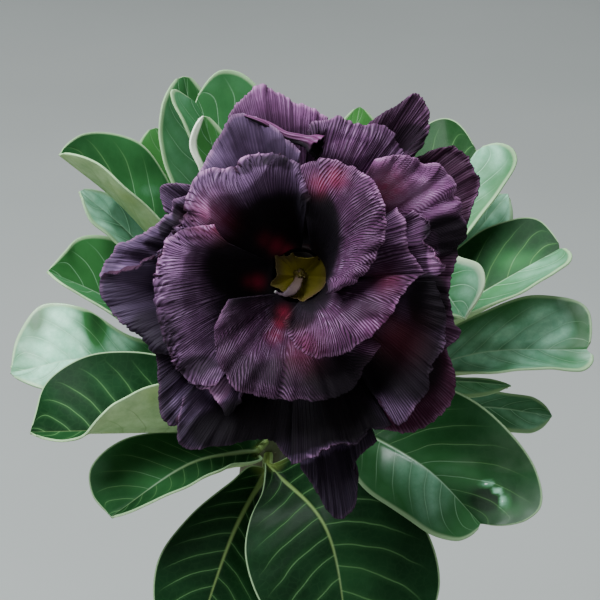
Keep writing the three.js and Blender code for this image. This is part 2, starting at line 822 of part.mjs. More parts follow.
// A petal's mid-surface: ribs fan from its root on the tube out to its margin.
function petalGeometry(petal) {
  const whorl = whorls[petal.whorl];
  const margin = curveThrough(petal.edge);
  const columns = petal.edge.length + 2;
  const ends = [petal.edge[0], petal.edge.at(-1)];
  const [first, last] = ends.map(([x, y]) => new THREE.Vector2(x, y).normalize());
  const heading = first.add(last).angle();
  const grid = [];
  for (let i = 0; i <= petalShape.rows; i++) {
    const s = i / petalShape.rows;
    const row = [];
    for (let j = 0; j < columns; j++) {
      const t = j / (columns - 1);
      const angle = heading + THREE.MathUtils.degToRad(whorl.hold * (1 - 2 * t));
      const root = new THREE.Vector3(Math.cos(angle), Math.sin(angle), 0);
      root.multiplyScalar(petalShape.rootRadius);
      root.z = whorl.depth;
      const end = margin.getPoint(t);
      const reach = new THREE.Vector3(end.x - root.x, end.y - root.y, 0);
      const lift = root.clone().addScaledVector(reach, whorl.run);
      lift.z += whorl.climb;
      const lean = end.clone().addScaledVector(reach, -whorl.back);
      lean.z += whorl.crest;
      row.push(new THREE.CubicBezierCurve3(root, lift, lean, end).getPoint(s));
    }
    grid.push(row);
  }
  return blade(grid, () => petalShape.thickness);
}

const tubeCurve = curveThrough(tube.line);

function corollaGeometry() {
  const pipe = toSolid(loft(ringsAlong(tubeCurve, 8, 20, (t) => blend(tube.radii, t))));
  const ring = new THREE.CylinderGeometry(tube.radii[0], tube.radii[0], tube.cupDepth + 4, 20);
  ring.rotateX(Math.PI / 2).translate(0, 0, -tube.rimDepth - (tube.cupDepth + 4) / 2);
  const cup = new THREE.CylinderGeometry(tube.cupRadius, tube.cupRadius, 2 * tube.cupDepth, 20);
  cup.rotateX(Math.PI / 2).translate(0, 0, -tube.rimDepth);
  const limbs = petals.map((petal) => toSolid(petalGeometry(petal)));
  return toGeometry(wasm.Manifold.union([pipe, toSolid(ring), ...limbs]).subtract(toSolid(cup)));
}

// The yellow throat: a small ragged cup inside the tube.
function throatGeometry() {
  const outer = tube.cupRadius - gap;
  const floor = -tube.rimDepth - tube.cupDepth + gap;
  const ragged = (angle) => throat.raggedness * Math.cos(throat.points * angle);
  const levels = [
    [outer - 1.2, () => 0],
    [outer, () => 1.2],
    [outer, (angle) => throat.tall + ragged(angle)],
    [outer - throat.wall, (angle) => throat.tall + ragged(angle)],
    [outer - throat.wall, () => 2.4],
    [1, () => 1.2],
  ];
  const rings = levels.map(([radius, heightAt]) =>
    Array.from({ length: throat.sides }, (_, j) => {
      const angle = (2 * Math.PI * j) / throat.sides;
      return new THREE.Vector3(radius * Math.cos(angle), radius * Math.sin(angle), floor + heightAt(angle));
    }),
  );
  return loft(rings);
}

// The cone of anthers with its curling threads.
function antherGeometry() {
  const floor = -tube.rimDepth - tube.cupDepth + gap + 1.85;
  const cone = new THREE.CylinderGeometry(0.7, anthers.cone, anthers.tall, 10);
  cone.rotateX(Math.PI / 2).translate(0, 0, floor + anthers.tall / 2);
  const threads = [];
  for (let i = 0; i < anthers.threads; i++) {
    const angle = (2 * Math.PI * i) / anthers.threads + 3.6;
    const [dx, dy] = [Math.cos(angle), Math.sin(angle)];
    const reach = i === 0 ? 5 : 2.6;
    const tip = floor + anthers.tall;
    const line = curveThrough([
      [0.3 * dx, 0.3 * dy, tip - 2.5],
      [0.35 * reach * dx, 0.35 * reach * dy, tip + 0.3 * anthers.threadLength],
      [reach * dx, reach * dy, tip + 0.42 * anthers.threadLength],
    ]);
    const thin = (t) => anthers.threadRadius * (1.3 - 0.6 * t);
    threads.push(toSolid(loft(ringsAlong(line, 4, 6, thin))));
  }
  return toGeometry(wasm.Manifold.union([toSolid(cone), ...threads]));
}

// A point beside the tube's centre line: share 0 is its foot, 1 the sepals' tips.
function besideTube(share, angle, away) {
  const t = 1 - (share * calyx.length) / tubeCurve.getLength();
  const back = tubeCurve.getTangent(Math.min(t, 1));
  const centre = tubeCurve.getPoint(Math.min(t, 1));
  centre.addScaledVector(back, Math.max(0, t - 1) * tubeCurve.getLength());
  const side = new THREE.Vector3(1, 0, 0).addScaledVector(back, -back.x).normalize();
  const front = new THREE.Vector3().crossVectors(back, side);
  return centre.addScaledVector(side, away * Math.cos(angle)).addScaledVector(front, away * Math.sin(angle));
}

function sepalBlade(angle) {
  const shares = [-0.2, -0.08, 0.3, 0.7, 1];
  const grid = shares.map((share) => {
    const t = 1 - (share * calyx.length) / tubeCurve.getLength();
    const half = (calyx.width / 2) * Math.sqrt(1.02 - Math.max(share, 0));
    const away = share < -0.1 ? 2.4 : blend(tube.radii, t) + calyx.clearance + share * share;
    return [-1, 0, 1].map((x) => besideTube(share, angle + (x * half) / away, away));
  });
  return blade(grid, () => calyx.thickness);
}

// The flower stalk, from the stem's tip to the foot of the tube, with five pointed sepals.
function calyxGeometry() {
  const tip = toCrown(stemCurve.getPoint(1));
  const heading = toCrown(stemCurve.getPoint(1).add(stemCurve.getTangent(1))).sub(tip);
  const foot = tubeCurve.getPoint(1);
  const back = tubeCurve.getTangent(1);
  const start = tip.clone().addScaledVector(heading, gap);
  const stop = foot.clone().addScaledVector(back, gap);
  const stalk = new THREE.CubicBezierCurve3(
    start,
    start.clone().addScaledVector(heading, 3),
    stop.clone().addScaledVector(back, 3),
    stop,
  );
  const parts = [toSolid(loft(ringsAlong(stalk, 6, 14, (t) => 3 + 1.6 * t * t)))];
  for (let k = 0; k < calyx.sepals; k++) {
    parts.push(toSolid(sepalBlade((2 * Math.PI * k) / calyx.sepals)));
  }
  return toGeometry(wasm.Manifold.union(parts));
}

// ---- assembly -----------------------------------------------------------------------------------

crownGroup.add(named("corolla", corollaGeometry(), darkPetal));
crownGroup.add(named("throat", throatGeometry(), throatYellow));
crownGroup.add(named("anthers", antherGeometry(), paleMauve));
crownGroup.add(named("calyx", calyxGeometry(), sepalGreen));
for (const leaf of leaves) {
  crownGroup.add(named(leaf.name, leafGeometry(leaf), leafGreen));
}

const plant = new THREE.Group();
plant.add(named("pot", potGeometry(), clay));
plant.add(named("soil", soilGeometry(), grit));
plant.add(named("stem", stemGeometry(), bark));
plant.add(crownGroup);

export default plant;
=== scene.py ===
import math
import random
import bpy
import numpy as np
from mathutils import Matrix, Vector, noise


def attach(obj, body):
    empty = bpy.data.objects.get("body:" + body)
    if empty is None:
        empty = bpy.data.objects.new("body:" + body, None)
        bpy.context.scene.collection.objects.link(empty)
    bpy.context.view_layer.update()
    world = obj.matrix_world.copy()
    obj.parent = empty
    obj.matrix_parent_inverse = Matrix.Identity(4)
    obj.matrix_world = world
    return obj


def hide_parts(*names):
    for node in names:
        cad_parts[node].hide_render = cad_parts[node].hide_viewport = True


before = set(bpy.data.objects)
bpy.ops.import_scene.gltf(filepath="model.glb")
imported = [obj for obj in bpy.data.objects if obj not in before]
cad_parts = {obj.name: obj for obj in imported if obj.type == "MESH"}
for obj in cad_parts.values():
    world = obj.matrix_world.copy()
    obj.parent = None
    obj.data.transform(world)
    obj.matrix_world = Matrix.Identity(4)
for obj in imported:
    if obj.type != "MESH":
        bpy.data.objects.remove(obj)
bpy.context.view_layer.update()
bpy.ops.object.select_all(action="DESELECT")
print("frame loaded:", len(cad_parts), "nodes")

mm = 0.001
gap = 0.3  # clearance where two pieces meet, in millimetres
goldenTurn = 2.39996  # spreads things evenly round a circle, in radians
crown = {"centre": (0, -48, 245), "axisElevation": 25}  # the bloom's own frame: x right, y up, z out
tilt = math.radians(90 - crown["axisElevation"])
crownAxes = np.array([
    [1, 0, 0],
    [0, math.cos(tilt), math.sin(tilt)],
    [0, -math.sin(tilt), math.cos(tilt)],
])


def fromCrown(points):
    return np.asarray(points, float) @ crownAxes + np.array(crown["centre"])


def toCrown(points):
    return (np.asarray(points, float) - np.array(crown["centre"])) @ crownAxes.T


def unit(vectors):
    return vectors / np.maximum(np.linalg.norm(vectors, axis=-1, keepdims=True), 1e-9)


def smooth(low, high, x):
    x = np.clip((x - low) / (high - low), 0, 1)
    return x * x * (3 - 2 * x)


def blend(values, t):
    return np.interp(np.clip(t, 0, 1) * (len(values) - 1), range(len(values)), values)


class Line:  # a smooth line through points
    def __init__(self, points):
        p = np.array(points, float)
        self.points = np.vstack([2 * p[0] - p[1], p, 2 * p[-1] - p[-2]])
        steps = np.linalg.norm(np.diff(self.at(np.linspace(0, 1, 201)), axis=0), axis=1)
        self.run = np.concatenate([[0], np.cumsum(steps)])
        self.length = self.run[-1]

    def at(self, t):
        t = np.clip(np.asarray(t, float), 0, 1)
        spans = len(self.points) - 3
        place = t * spans
        i = np.minimum(place.astype(int), spans - 1)
        w = (place - i)[..., None]
        a, b, c, d = (self.points[i + k] for k in range(4))
        ab, bc, cd = (np.sqrt(np.linalg.norm(q - p, axis=-1, keepdims=True)) for p, q in [(a, b), (b, c), (c, d)])
        leave = ((b - a) / ab - (c - a) / (ab + bc) + (c - b) / bc) * bc
        arrive = ((c - b) / bc - (d - b) / (bc + cd) + (d - c) / cd) * bc
        return b + leave * w + (3 * (c - b) - 2 * leave - arrive) * w**2 + (2 * (b - c) + leave + arrive) * w**3

    def timeOf(self, share):  # the place on the line at a share of its length
        return np.interp(np.asarray(share, float) * self.length, self.run, np.linspace(0, 1, 201))

    def along(self, share):
        return self.at(self.timeOf(share))

    def heading(self, t):
        t = np.asarray(t, float)
        return unit(self.at(np.minimum(t + 1e-4, 1)) - self.at(np.maximum(t - 1e-4, 0)))


def curve(start, leave, arrive, stop, s):  # from start to stop, bent by the two points between
    rest = 1 - s
    return start * rest**3 + leave * 3 * s * rest**2 + arrive * 3 * s**2 * rest + stop * s**3


def wander(x, seed):  # a smooth uneven wave of x, about -1 to 1
    roll = random.Random(seed)
    return sum(np.sin(x * roll.uniform(0.6, 1.6) * k + roll.uniform(0, 6.3)) / k**0.7 for k in range(1, 6)) / 1.9


def ripples(x, y, seed):  # an uneven swell over two directions, about -1 to 1
    roll = random.Random(seed)
    return sum(np.sin(x * roll.uniform(-1, 1) + y * roll.uniform(-1, 1) * 2 + roll.uniform(0, 6.3))
               for k in range(5)) / 2.4


def giveValues(piece, name, values):  # one value for each point of a piece, which its material reads
    layer = piece.data.attributes.new(name, "FLOAT", "POINT")
    layer.data.foreach_set("value", np.asarray(values, np.float32).ravel())


def gridPiece(name, points, attributes):
    # points is rows x columns x 3 in millimetres: a flat grid is added, and each of its points is put in place.
    # An attribute is one number for all points, a row, a column or a full grid of them.
    rows, columns = points.shape[:2]
    bpy.ops.mesh.primitive_grid_add(x_subdivisions=columns - 1, y_subdivisions=rows - 1, size=1)
    piece = bpy.context.object
    piece.name = piece.data.name = name
    piece.data.vertices.foreach_set("co", (points * mm).astype(np.float32).ravel())
    for key, values in attributes.items():
        giveValues(piece, key, np.broadcast_to(values, (rows, columns)))
    bpy.ops.object.mode_set(mode="EDIT")
    bpy.ops.mesh.select_all(action="SELECT")
    bpy.ops.mesh.remove_doubles(threshold=1e-6)
    bpy.ops.mesh.normals_make_consistent(inside=False)
    bpy.ops.object.mode_set(mode="OBJECT")
    bpy.ops.object.shade_smooth()
    return piece


def normalsOf(grid):
    return unit(np.cross(np.gradient(grid, axis=1), np.gradient(grid, axis=0)))


def folded(top, bottom):  # the columns of the top and then, the other way, those of the underside
    return np.concatenate([top, bottom[:, -2::-1]], axis=1)


def thinPiece(name, grid, above, below, attributes):
    # a closed blade round a mid-surface in the bloom's frame, with its thickness above and below
    grid = fromCrown(grid)
    normal = normalsOf(grid)
    shape = grid.shape[:2]
    values = {key: np.broadcast_to(value, shape) for key, value in attributes.items()}
    values = {key: folded(value, value) for key, value in values.items()}
    values["under"] = folded(np.zeros(shape), np.ones(shape))
    return gridPiece(name, folded(grid + normal * above[..., None], grid - normal * below[..., None]), values)


def rimmed(distance, width):  # 0 at a rim, rounding up to 1 at that width from it
    return np.sqrt(np.clip(1 - (1 - np.clip(distance / width, 0, 1)) ** 2, 0, 1))


def rimmedGrid(distance, width):  # the same over a blade, whose outermost rows and columns have no thickness
    slim = rimmed(distance, width)
    slim[0] = slim[-1] = 0
    slim[:, 0] = slim[:, -1] = 0
    return slim


def ringsAlong(line, t, sides, radiusAt):  # rings square to a line, the last point of each on its first
    heading = line.heading(t)
    side = unit(np.array([1.0, 0, 0]) - heading * heading[:, :1])
    front = np.cross(heading, side)
    angle = np.linspace(0, 2 * math.pi, sides + 1)
    radius = radiusAt(t[:, None], angle[None, :])
    return line.at(t)[:, None] + radius[..., None] * (
        side[:, None] * np.cos(angle)[None, :, None] + front[:, None] * np.sin(angle)[None, :, None])


def rod(name, line, t, sides, radiusAt, reach):  # a round piece along a line in the bloom's frame
    return gridPiece(name, fromCrown(ringsAlong(line, t, sides, radiusAt)), {"reach": reach[:, None]})


def joined(name, parts):
    bpy.ops.object.select_all(action="DESELECT")
    for part in parts:
        part.select_set(True)
    bpy.context.view_layer.objects.active = parts[0]
    bpy.ops.object.join()
    piece = bpy.context.object
    piece.name = piece.data.name = name
    return piece


def settle(piece, look, node):
    piece.data.materials.clear()
    piece.data.materials.append(look)
    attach(piece, "root")
    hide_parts(node)
    piece.select_set(False)


class Value:  # a node's output that can be reckoned with
    def __init__(self, look, socket):
        self.look = look
        self.socket = socket

    def __add__(self, other):
        return self.look.maths("ADD", self, other)

    def __sub__(self, other):
        return self.look.maths("SUBTRACT", self, other)

    def __rsub__(self, other):
        return self.look.maths("SUBTRACT", other, self)

    def __mul__(self, other):
        return self.look.maths("MULTIPLY", self, other)

    def __abs__(self):
        return self.look.maths("ABSOLUTE", self)

    __radd__ = __add__
    __rmul__ = __mul__


class Finish:  # a material and the nodes that make it
    def __init__(self, name, **fixed):
        self.material = bpy.data.materials.new(name)
        self.material.use_nodes = True
        self.tree = self.material.node_tree
        self.shader = self.tree.nodes["Principled BSDF"]
        for key, value in fixed.items():
            self.shader.inputs[key.replace("_", " ")].default_value = value

    def node(self, kind, settings=None, values=None, output=0):
        made = self.tree.nodes.new(kind)
        for key, setting in (settings or {}).items():
            if key == "stops":
                ramp = made.color_ramp
                while len(ramp.elements) < len(setting):
                    ramp.elements.new(0.5)
                for element, (place, colour) in zip(ramp.elements, setting):
                    element.position = place
                    element.color = (*colour, 1)
            else:
                setattr(made, key, setting)
        for key, value in (values or {}).items():
            if isinstance(value, Value):
                self.tree.links.new(value.socket, made.inputs[key])
            elif isinstance(value, tuple) and len(value) == 3 and made.inputs[key].type == "RGBA":
                made.inputs[key].default_value = (*value, 1)
            else:
                made.inputs[key].default_value = value
        return Value(self, made.outputs[output])

    def maths(self, operation, first, second=0.0):
        return self.node("ShaderNodeMath", {"operation": operation}, {0: first, 1: second})

    def place(self):
        return self.node("ShaderNodeTexCoord", output=3)

    def stretched(self, scale):
        return self.node("ShaderNodeMapping", {}, {"Vector": self.place(), "Scale": scale})

    def attribute(self, name):
        return self.node("ShaderNodeAttribute", {"attribute_name": name}, output=2)

    def noise(self, scale, detail=3.0, roughness=0.5, vector=None, distortion=0.0):
        return self.node("ShaderNodeTexNoise", {}, {
            "Vector": vector or self.place(), "Scale": scale, "Detail": detail,
            "Roughness": roughness, "Distortion": distortion,
        })

    def cells(self, scale, feature="F1", vector=None):
        return self.node("ShaderNodeTexVoronoi", {"feature": feature}, {
            "Vector": vector or self.place(), "Scale": scale,
        })

    def step(self, low, high, x, start=0.0, stop=1.0):  # an eased step from start to stop
        return self.node("ShaderNodeMapRange", {"interpolation_type": "SMOOTHSTEP"}, {
            "Value": x, "From Min": low, "From Max": high, "To Min": start, "To Max": stop,
        })

    def ramp(self, x, *stops):
        return self.node("ShaderNodeValToRGB", {"stops": stops}, {"Fac": x})

    def mix(self, first, second, share):
        return self.node("ShaderNodeMix", {"data_type": "RGBA"}, {0: share, 6: first, 7: second}, 2)

    def follow(self, pattern, low, high):  # a roughness that rises with a pattern
        return self.step(0.3, 0.7, pattern, low, high)

    def wear(self, name, value):
        self.tree.links.new(value.socket, self.shader.inputs[name])

    def skin(self, colour, roughness, height, distance, strength):  # the last lines of every material
        self.wear("Base Color", colour)
        self.wear("Roughness", roughness)
        self.wear("Normal", self.node("ShaderNodeBump", {}, {
            "Height": height, "Distance": distance, "Strength": strength,
        }))
        return self.material


# the swollen stem
stem = {
    "line": [(0, 0, 58), (0, 1, 78), (0, 3, 98), (-1, 8, 118), (-4, 13, 140), (-8, 11, 158), (-8.5, 6, 171),
             (-4, 2, 186), (3, -2, 201.5)],
    "radii": [14, 28, 28.5, 18.5, 10.5, 8, 6.8, 6, 4.6],
    "lobes": 3, "lobeDepth": 0.09, "lobeHeight": 92, "lobeSpread": 20, "lobeTurn": 0.6,
    "crownFrom": 0.74, "crownTo": 0.965,
    "rings": 240, "sides": 132,
    "scars": 34, "scarHeight": 0.45, "wrinkle": 0.5, "slim": 0.34, "inset": 0.15,
}
stemLine = Line(stem["line"])


def stemRadius(t, angle):
    height = stemLine.at(t)[..., 2]
    swell = np.exp(-(((height - stem["lobeHeight"]) / stem["lobeSpread"]) ** 2))
    return blend(stem["radii"], t) * (1 + stem["lobeDepth"] * swell * np.cos(stem["lobes"] * angle + stem["lobeTurn"]))


def makeStem():
    t = np.linspace(0, 1, stem["rings"])
    roll = random.Random(4)
    scars = [(roll.uniform(0.36, 0.97), k * goldenTurn + roll.uniform(-0.3, 0.3)) for k in range(stem["scars"])]

    def radiusAt(t, angle):  # the swelling, then leaf scars, then wrinkles
        plain = stemRadius(t, angle)
        extra = np.zeros(plain.shape)
        for place, turn in scars:
            off = np.arctan2(np.sin(angle - turn), np.cos(angle - turn)) * plain
            away = np.sqrt(((t - place) * stemLine.length) ** 2 + (off / 1.7) ** 2)
            extra += stem["scarHeight"] * (np.exp(-((away - 1.1) / 0.55) ** 2) - 0.4 * np.exp(-(away / 0.6) ** 2))
        rows, columns = plain.shape
        for i in range(rows):
            for j in range(columns - 1):
                a = angle[0, j]
                p = Vector((math.cos(a) * 1.6, math.sin(a) * 1.6, float(t[i, 0]) * 9))
                girth = min(plain[i, j] / 12, 1.6)
                extra[i, j] += stem["wrinkle"] * girth * (
                    0.6 * noise.noise(p * 1.3) + 0.3 * noise.noise(Vector((p.x * 2.2, p.y * 2.2, p.z * 7)))
                    + 0.12 * noise.noise(p * 11))
        extra[:, -1] = extra[:, 0]
        return (plain + extra) * (1 - stem["slim"] * smooth(0.66, 0.74, t)) - stem["inset"]

    rings = ringsAlong(stemLine, t, stem["sides"], radiusAt)
    centre = stemLine.at(t)
    for row, share in [(0, 0), (-1, 0), (-2, 0.72), (-3, 0.94)]:  # the closed foot and the rounded growing tip
        rings[row] = centre[row] + (rings[row] - centre[row]) * share
    return gridPiece("stemBark", rings, {"fresh": smooth(0.5, 0.9, t)[:, None]})


def makeBark():
    look = Finish("barkSkin", Specular_IOR_Level=0.35)
    fresh = look.attribute("fresh")
    blotch = look.noise(45, 5, 0.6)
    streak = look.noise(1, 4, 0.6, look.stretched((420, 420, 45)))
    speck = look.step(0.12, 0.2, look.cells(420, vector=look.stretched((1, 1, 2.2))), 1.0, 0.0)
    old = look.ramp(blotch, (0.3, (0.105, 0.088, 0.06)), (0.5, (0.20, 0.18, 0.13)), (0.72, (0.33, 0.30, 0.23)))
    # the young green top of the stem, darkened further as painted shade among the leaf stalks
    green = look.ramp(blotch, (0.3, (0.012, 0.032, 0.006)), (0.7, (0.035, 0.070, 0.016)))
    colour = look.mix(old, green, fresh)
    colour = look.mix(colour, (0.05, 0.045, 0.03), look.step(0.5, 0.72, streak) * 0.55)
    colour = look.mix(colour, (0.42, 0.39, 0.31), speck * 0.5 * (1 - fresh * 0.8))
    height = streak * 0.6 + blotch * 0.5 + speck * 0.4 + look.noise(1500) * 0.25
    return look.skin(colour, look.follow(blotch, 0.6, 0.85), height, 0.0006, 0.7)


settle(makeStem(), makeBark(), "stem")
print("stem done")


# the clay pot
pot = {
    "height": 98, "footRadius": 43, "rimRadius": 62, "wall": 5, "floor": 7, "collarHeight": 22, "collarStep": 3,
    "drainHoles": 5, "drainRadius": 4, "drainCircle": 24, "sides": 160, "softEdge": 0.5,
}


def potRadius(z):
    return pot["footRadius"] + (pot["rimRadius"] - pot["collarStep"] - pot["footRadius"]) * z / pot["height"]


def insideRadius(z):
    return potRadius(z) - pot["wall"]


def makePot():
    top, rim, wall = pot["height"], pot["rimRadius"], pot["wall"]
    collar = top - pot["collarHeight"]
    profile = [  # radius and height, up the outside, over the rim and down the inside
        (pot["footRadius"] - 1.5, 0), (potRadius(1.5) - 0.1, 1.5), (potRadius(collar) - 0.1, collar - 0.4),
        (potRadius(collar) + 0.9, collar + 0.1), (rim - 1.2, collar + 1.8), (rim - 0.15, top - 2.2),
        (rim - 0.6, top - 0.6), (rim - 1.6, top - 0.05), (rim - wall + 1, top), (rim - wall + 0.2, top - 0.6),
        (insideRadius(top - 4), top - 4), (insideRadius(pot["floor"]), pot["floor"]),
    ]
    bpy.ops.mesh.primitive_circle_add(vertices=pot["sides"], radius=profile[0][0] * mm, fill_type="NOTHING")
    piece = bpy.context.object
    piece.name = piece.data.name = "potClay"
    bpy.ops.object.mode_set(mode="EDIT")
    bpy.ops.mesh.select_all(action="SELECT")
    bpy.ops.mesh.edge_face_add()
    for (r0, z0), (r1, z1) in zip(profile, profile[1:]):  # each ring is drawn out of the last
        bpy.ops.mesh.extrude_edges_move(TRANSFORM_OT_translate={"value": (0, 0, (z1 - z0) * mm)})
        bpy.ops.transform.resize(value=(r1 / r0, r1 / r0, 1), center_override=(0, 0, z1 * mm))
    bpy.ops.mesh.edge_face_add()
    bpy.ops.mesh.select_all(action="SELECT")
    bpy.ops.mesh.normals_make_consistent(inside=False)
    bpy.ops.object.mode_set(mode="OBJECT")
    soften = piece.modifiers.new("soften", "BEVEL")
    soften.width = pot["softEdge"] * mm
    soften.segments = 3
    soften.limit_method = "ANGLE"
    soften.angle_limit = math.radians(24)
    bpy.ops.object.modifier_apply(modifier="soften")
    for k in range(pot["drainHoles"]):
        angle = 2 * math.pi * k / pot["drainHoles"]
        at = (pot["drainCircle"] * mm * math.cos(angle), pot["drainCircle"] * mm * math.sin(angle),
              pot["floor"] / 2 * mm)
        bpy.ops.mesh.primitive_cylinder_add(vertices=40, radius=pot["drainRadius"] * mm, depth=20 * mm, location=at)
        drill = bpy.context.object
        bpy.ops.object.select_all(action="DESELECT")
        piece.select_set(True)
        bpy.context.view_layer.objects.active = piece
        bore = piece.modifiers.new("bore", "BOOLEAN")
        bore.operation = "DIFFERENCE"
        bore.object = drill
        bpy.ops.object.modifier_apply(modifier="bore")
        bpy.data.objects.remove(drill)
    bpy.ops.object.shade_smooth_by_angle(angle=math.radians(35))
    return piece


def makeClay():
    look = Finish("clayTerracotta", Specular_IOR_Level=0.25)
    broad = look.noise(14, 5, 0.6)
    bloom = look.noise(38, 6, 0.65, distortion=0.6)
    grain = look.noise(900, 4, 0.7)
    turning = look.noise(1, 2, 0.5, look.stretched((5, 5, 420)))
    damp = look.step(0.085, 0.02, look.node("ShaderNodeSeparateXYZ", {}, {0: look.place()}, 2))
    colour = look.ramp(broad, (0.3, (0.30, 0.105, 0.05)), (0.5, (0.43, 0.17, 0.085)), (0.7, (0.54, 0.25, 0.14)))
    colour = look.mix(colour, (0.66, 0.56, 0.47), look.step(0.52, 0.74, bloom) * (0.2 + damp * 0.45))
    colour = look.mix(colour, (0.16, 0.06, 0.035), look.step(0.62, 0.75, grain) * 0.5)
    height = turning * 0.7 + grain * 0.35 + broad * 0.3
    return look.skin(colour, look.follow(broad, 0.72, 0.92), height, 0.0005, 0.5)


settle(makePot(), makeClay(), "pot")
print("pot done")


# the soil and its gravel
soil = {
    "level": 86, "mound": 3, "hole": 24, "holeFloor": 80, "sides": 260, "rings": 70,
    "pebbles": 28, "pebbleSize": 4, "grit": 760, "gritSize": (0.7, 2.3),
}


def soilTop(radius):
    edge = insideRadius(soil["level"]) - gap
    return soil["level"] + soil["mound"] * np.interp(radius, [0, 34, edge], [1, 0.5, 0])


def makeSoil():
    edge = insideRadius(soil["level"]) - gap - 0.1
    floorAt = pot["floor"] + gap
    low = insideRadius(floorAt) - gap - 0.1
    profile = [(0, floorAt), (low, floorAt), (edge - 0.2, soil["level"] - 1.2)]  # radius and height
    profile += [(r, None) for r in np.linspace(edge, soil["hole"] + 0.5, soil["rings"])]
    profile += [(soil["hole"], soil["holeFloor"]), (0, soil["holeFloor"])]  # the stem's foot stands here
    sides = soil["sides"]
    angle = np.linspace(0, 2 * math.pi, sides + 1)
    rows = []
    for radius, z in profile:
        ring = np.stack([radius * np.cos(angle), radius * np.sin(angle), np.zeros(sides + 1)], axis=1)
        if z is None:  # the uneven top
            top = float(soilTop(radius))
            inset = min(1, (edge - radius) / 3)
            for j in range(sides):
                p = Vector(ring[j]) * 0.12
                lumps = 1.1 * noise.noise(p) + 0.7 * noise.noise(p * 3.1) + 0.45 * noise.noise(p * 8)
                ring[j, 2] = top + 0.25 + inset * lumps - 0.5
            ring[-1, 2] = ring[0, 2]
        else:
            ring[:, 2] = z
        rows.append(ring)
    return gridPiece("soilBed", np.array(rows), {})


def shapeStone(seed):  # one stone, modelled once: a ball cut to flats and worn round
    bpy.ops.mesh.primitive_ico_sphere_add(subdivisions=2, radius=1)
    stone = bpy.context.object
    roll = random.Random(seed)
    for vertex in stone.data.vertices:
        p = vertex.co.copy()
        push = 1 + 0.26 * noise.noise(p * 1.1 + Vector((seed * 3.7, 0, 0))) + 0.1 * noise.noise(p * 2.7)
        vertex.co = Vector((p.x, p.y * roll.uniform(0.8, 0.82), p.z * 0.66)) * push
    return stone


def scatterStones(name, masters, places):
    made = []
    for k, (x, y, z, size, turn, tone) in enumerate(places):
        stone = masters[k % len(masters)].copy()
        stone.data = stone.data.copy()
        bpy.context.collection.objects.link(stone)
        stone.location = (x * mm, y * mm, z * mm)
        stone.scale = (size * mm,) * 3
        stone.rotation_euler = turn
        giveValues(stone, "tone", [tone] * len(stone.data.vertices))
        made.append(stone)
    piece = joined(name, made)
    bpy.ops.object.transform_apply(location=True, rotation=True, scale=True)
    bpy.ops.object.shade_smooth_by_angle(angle=math.radians(50))
    return piece


def makeStones():
    masters = [shapeStone(k) for k in range(5)]
    places = []
    state = 7  # the same draws that place the pebbles of the plain model

    def draw():
        nonlocal state
        state = (state * 1664525 + 1013904223) % 4294967296
        return state / 4294967296

    wall = insideRadius(soil["level"])
    outer = wall - soil["pebbleSize"] - 1
    inner = float(blend(stem["radii"], 0.18)) + soil["pebbleSize"]
    for k in range(soil["pebbles"]):
        angle = k * goldenTurn
        share = (k + 0.5) / soil["pebbles"]
        radius = math.sqrt(inner * inner + share * (outer * outer - inner * inner))
        size = soil["pebbleSize"] * (0.6 + 0.5 * draw())
        turn = (draw() * 0.5, draw() * 0.5, k * 1.3)
        places.append((radius * math.cos(angle), radius * math.sin(angle), soil["level"] + 0.25 * size, size * 1.02,
                       turn, draw()))
    roll = random.Random(19)
    for k in range(soil["grit"]):
        angle = roll.uniform(0, 2 * math.pi)
        size = roll.uniform(*soil["gritSize"]) * roll.uniform(0.7, 1)
        radius = math.sqrt(roll.uniform(26**2, (wall - 1.2 - size) ** 2))
        stoneTop = float(soilTop(radius))
        places.append((radius * math.cos(angle), radius * math.sin(angle), stoneTop + 0.15 * size, size,
                       (roll.uniform(-0.6, 0.6), roll.uniform(-0.6, 0.6), roll.uniform(0, 6.3)), roll.random()))
    piece = scatterStones("soilGravel", masters, places)
    for master in masters:
        bpy.data.objects.remove(master)
    return piece


def makeEarth():
    look = Finish("gritEarth", Specular_IOR_Level=0.2)
    crumb = look.noise(420, 6, 0.7)
    patch = look.noise(60)
    colour = look.ramp(crumb, (0.3, (0.016, 0.011, 0.008)), (0.55, (0.06, 0.042, 0.03)), (0.75, (0.14, 0.105, 0.075)))
    colour = look.mix(colour, (0.09, 0.06, 0.035), look.step(0.4, 0.7, patch) * 0.5)
    height = crumb + look.noise(1400, 4, 0.7) * 0.6
    return look.skin(colour, look.follow(patch, 0.85, 0.97), height, 0.0012, 0.9)


def makeGravel():
    look = Finish("gritStone", Specular_IOR_Level=0.3)
    tone = look.attribute("tone")
    grain = look.noise(1300, 4, 0.7)
    cloud = look.noise(220)
    colour = look.ramp(tone, (0.0, (0.11, 0.085, 0.065)), (0.3, (0.23, 0.19, 0.15)), (0.5, (0.38, 0.34, 0.28)),
                       (0.72, (0.30, 0.16, 0.10)), (0.86, (0.13, 0.055, 0.035)), (1.0, (0.55, 0.51, 0.44)))
    colour = look.mix(colour, (0.05, 0.04, 0.03), look.step(0.5, 0.75, grain) * 0.55)
    colour = look.mix(colour, (0.6, 0.56, 0.5), look.step(0.6, 0.8, cloud) * 0.3)
    return look.skin(colour, look.follow(cloud, 0.75, 0.95), grain + cloud * 0.6, 0.0004, 0.8)


settle(makeSoil(), makeEarth(), "soil")
settle(makeStones(), makeGravel(), "soil")
print("soil done")


# the leaves
leafShape = {
    "stalk": 1.2, "stalkRun": 1.6, "blade": 0.3, "keel": 0.7, "rim": 0.28, "rows": 96, "stalkRows": 8,
    "rootDepth": 2.8, "groove": 0.14, "grooveWidth": 0.6, "wave": 0.4, "quilt": 0.09, "veins": 11,
}
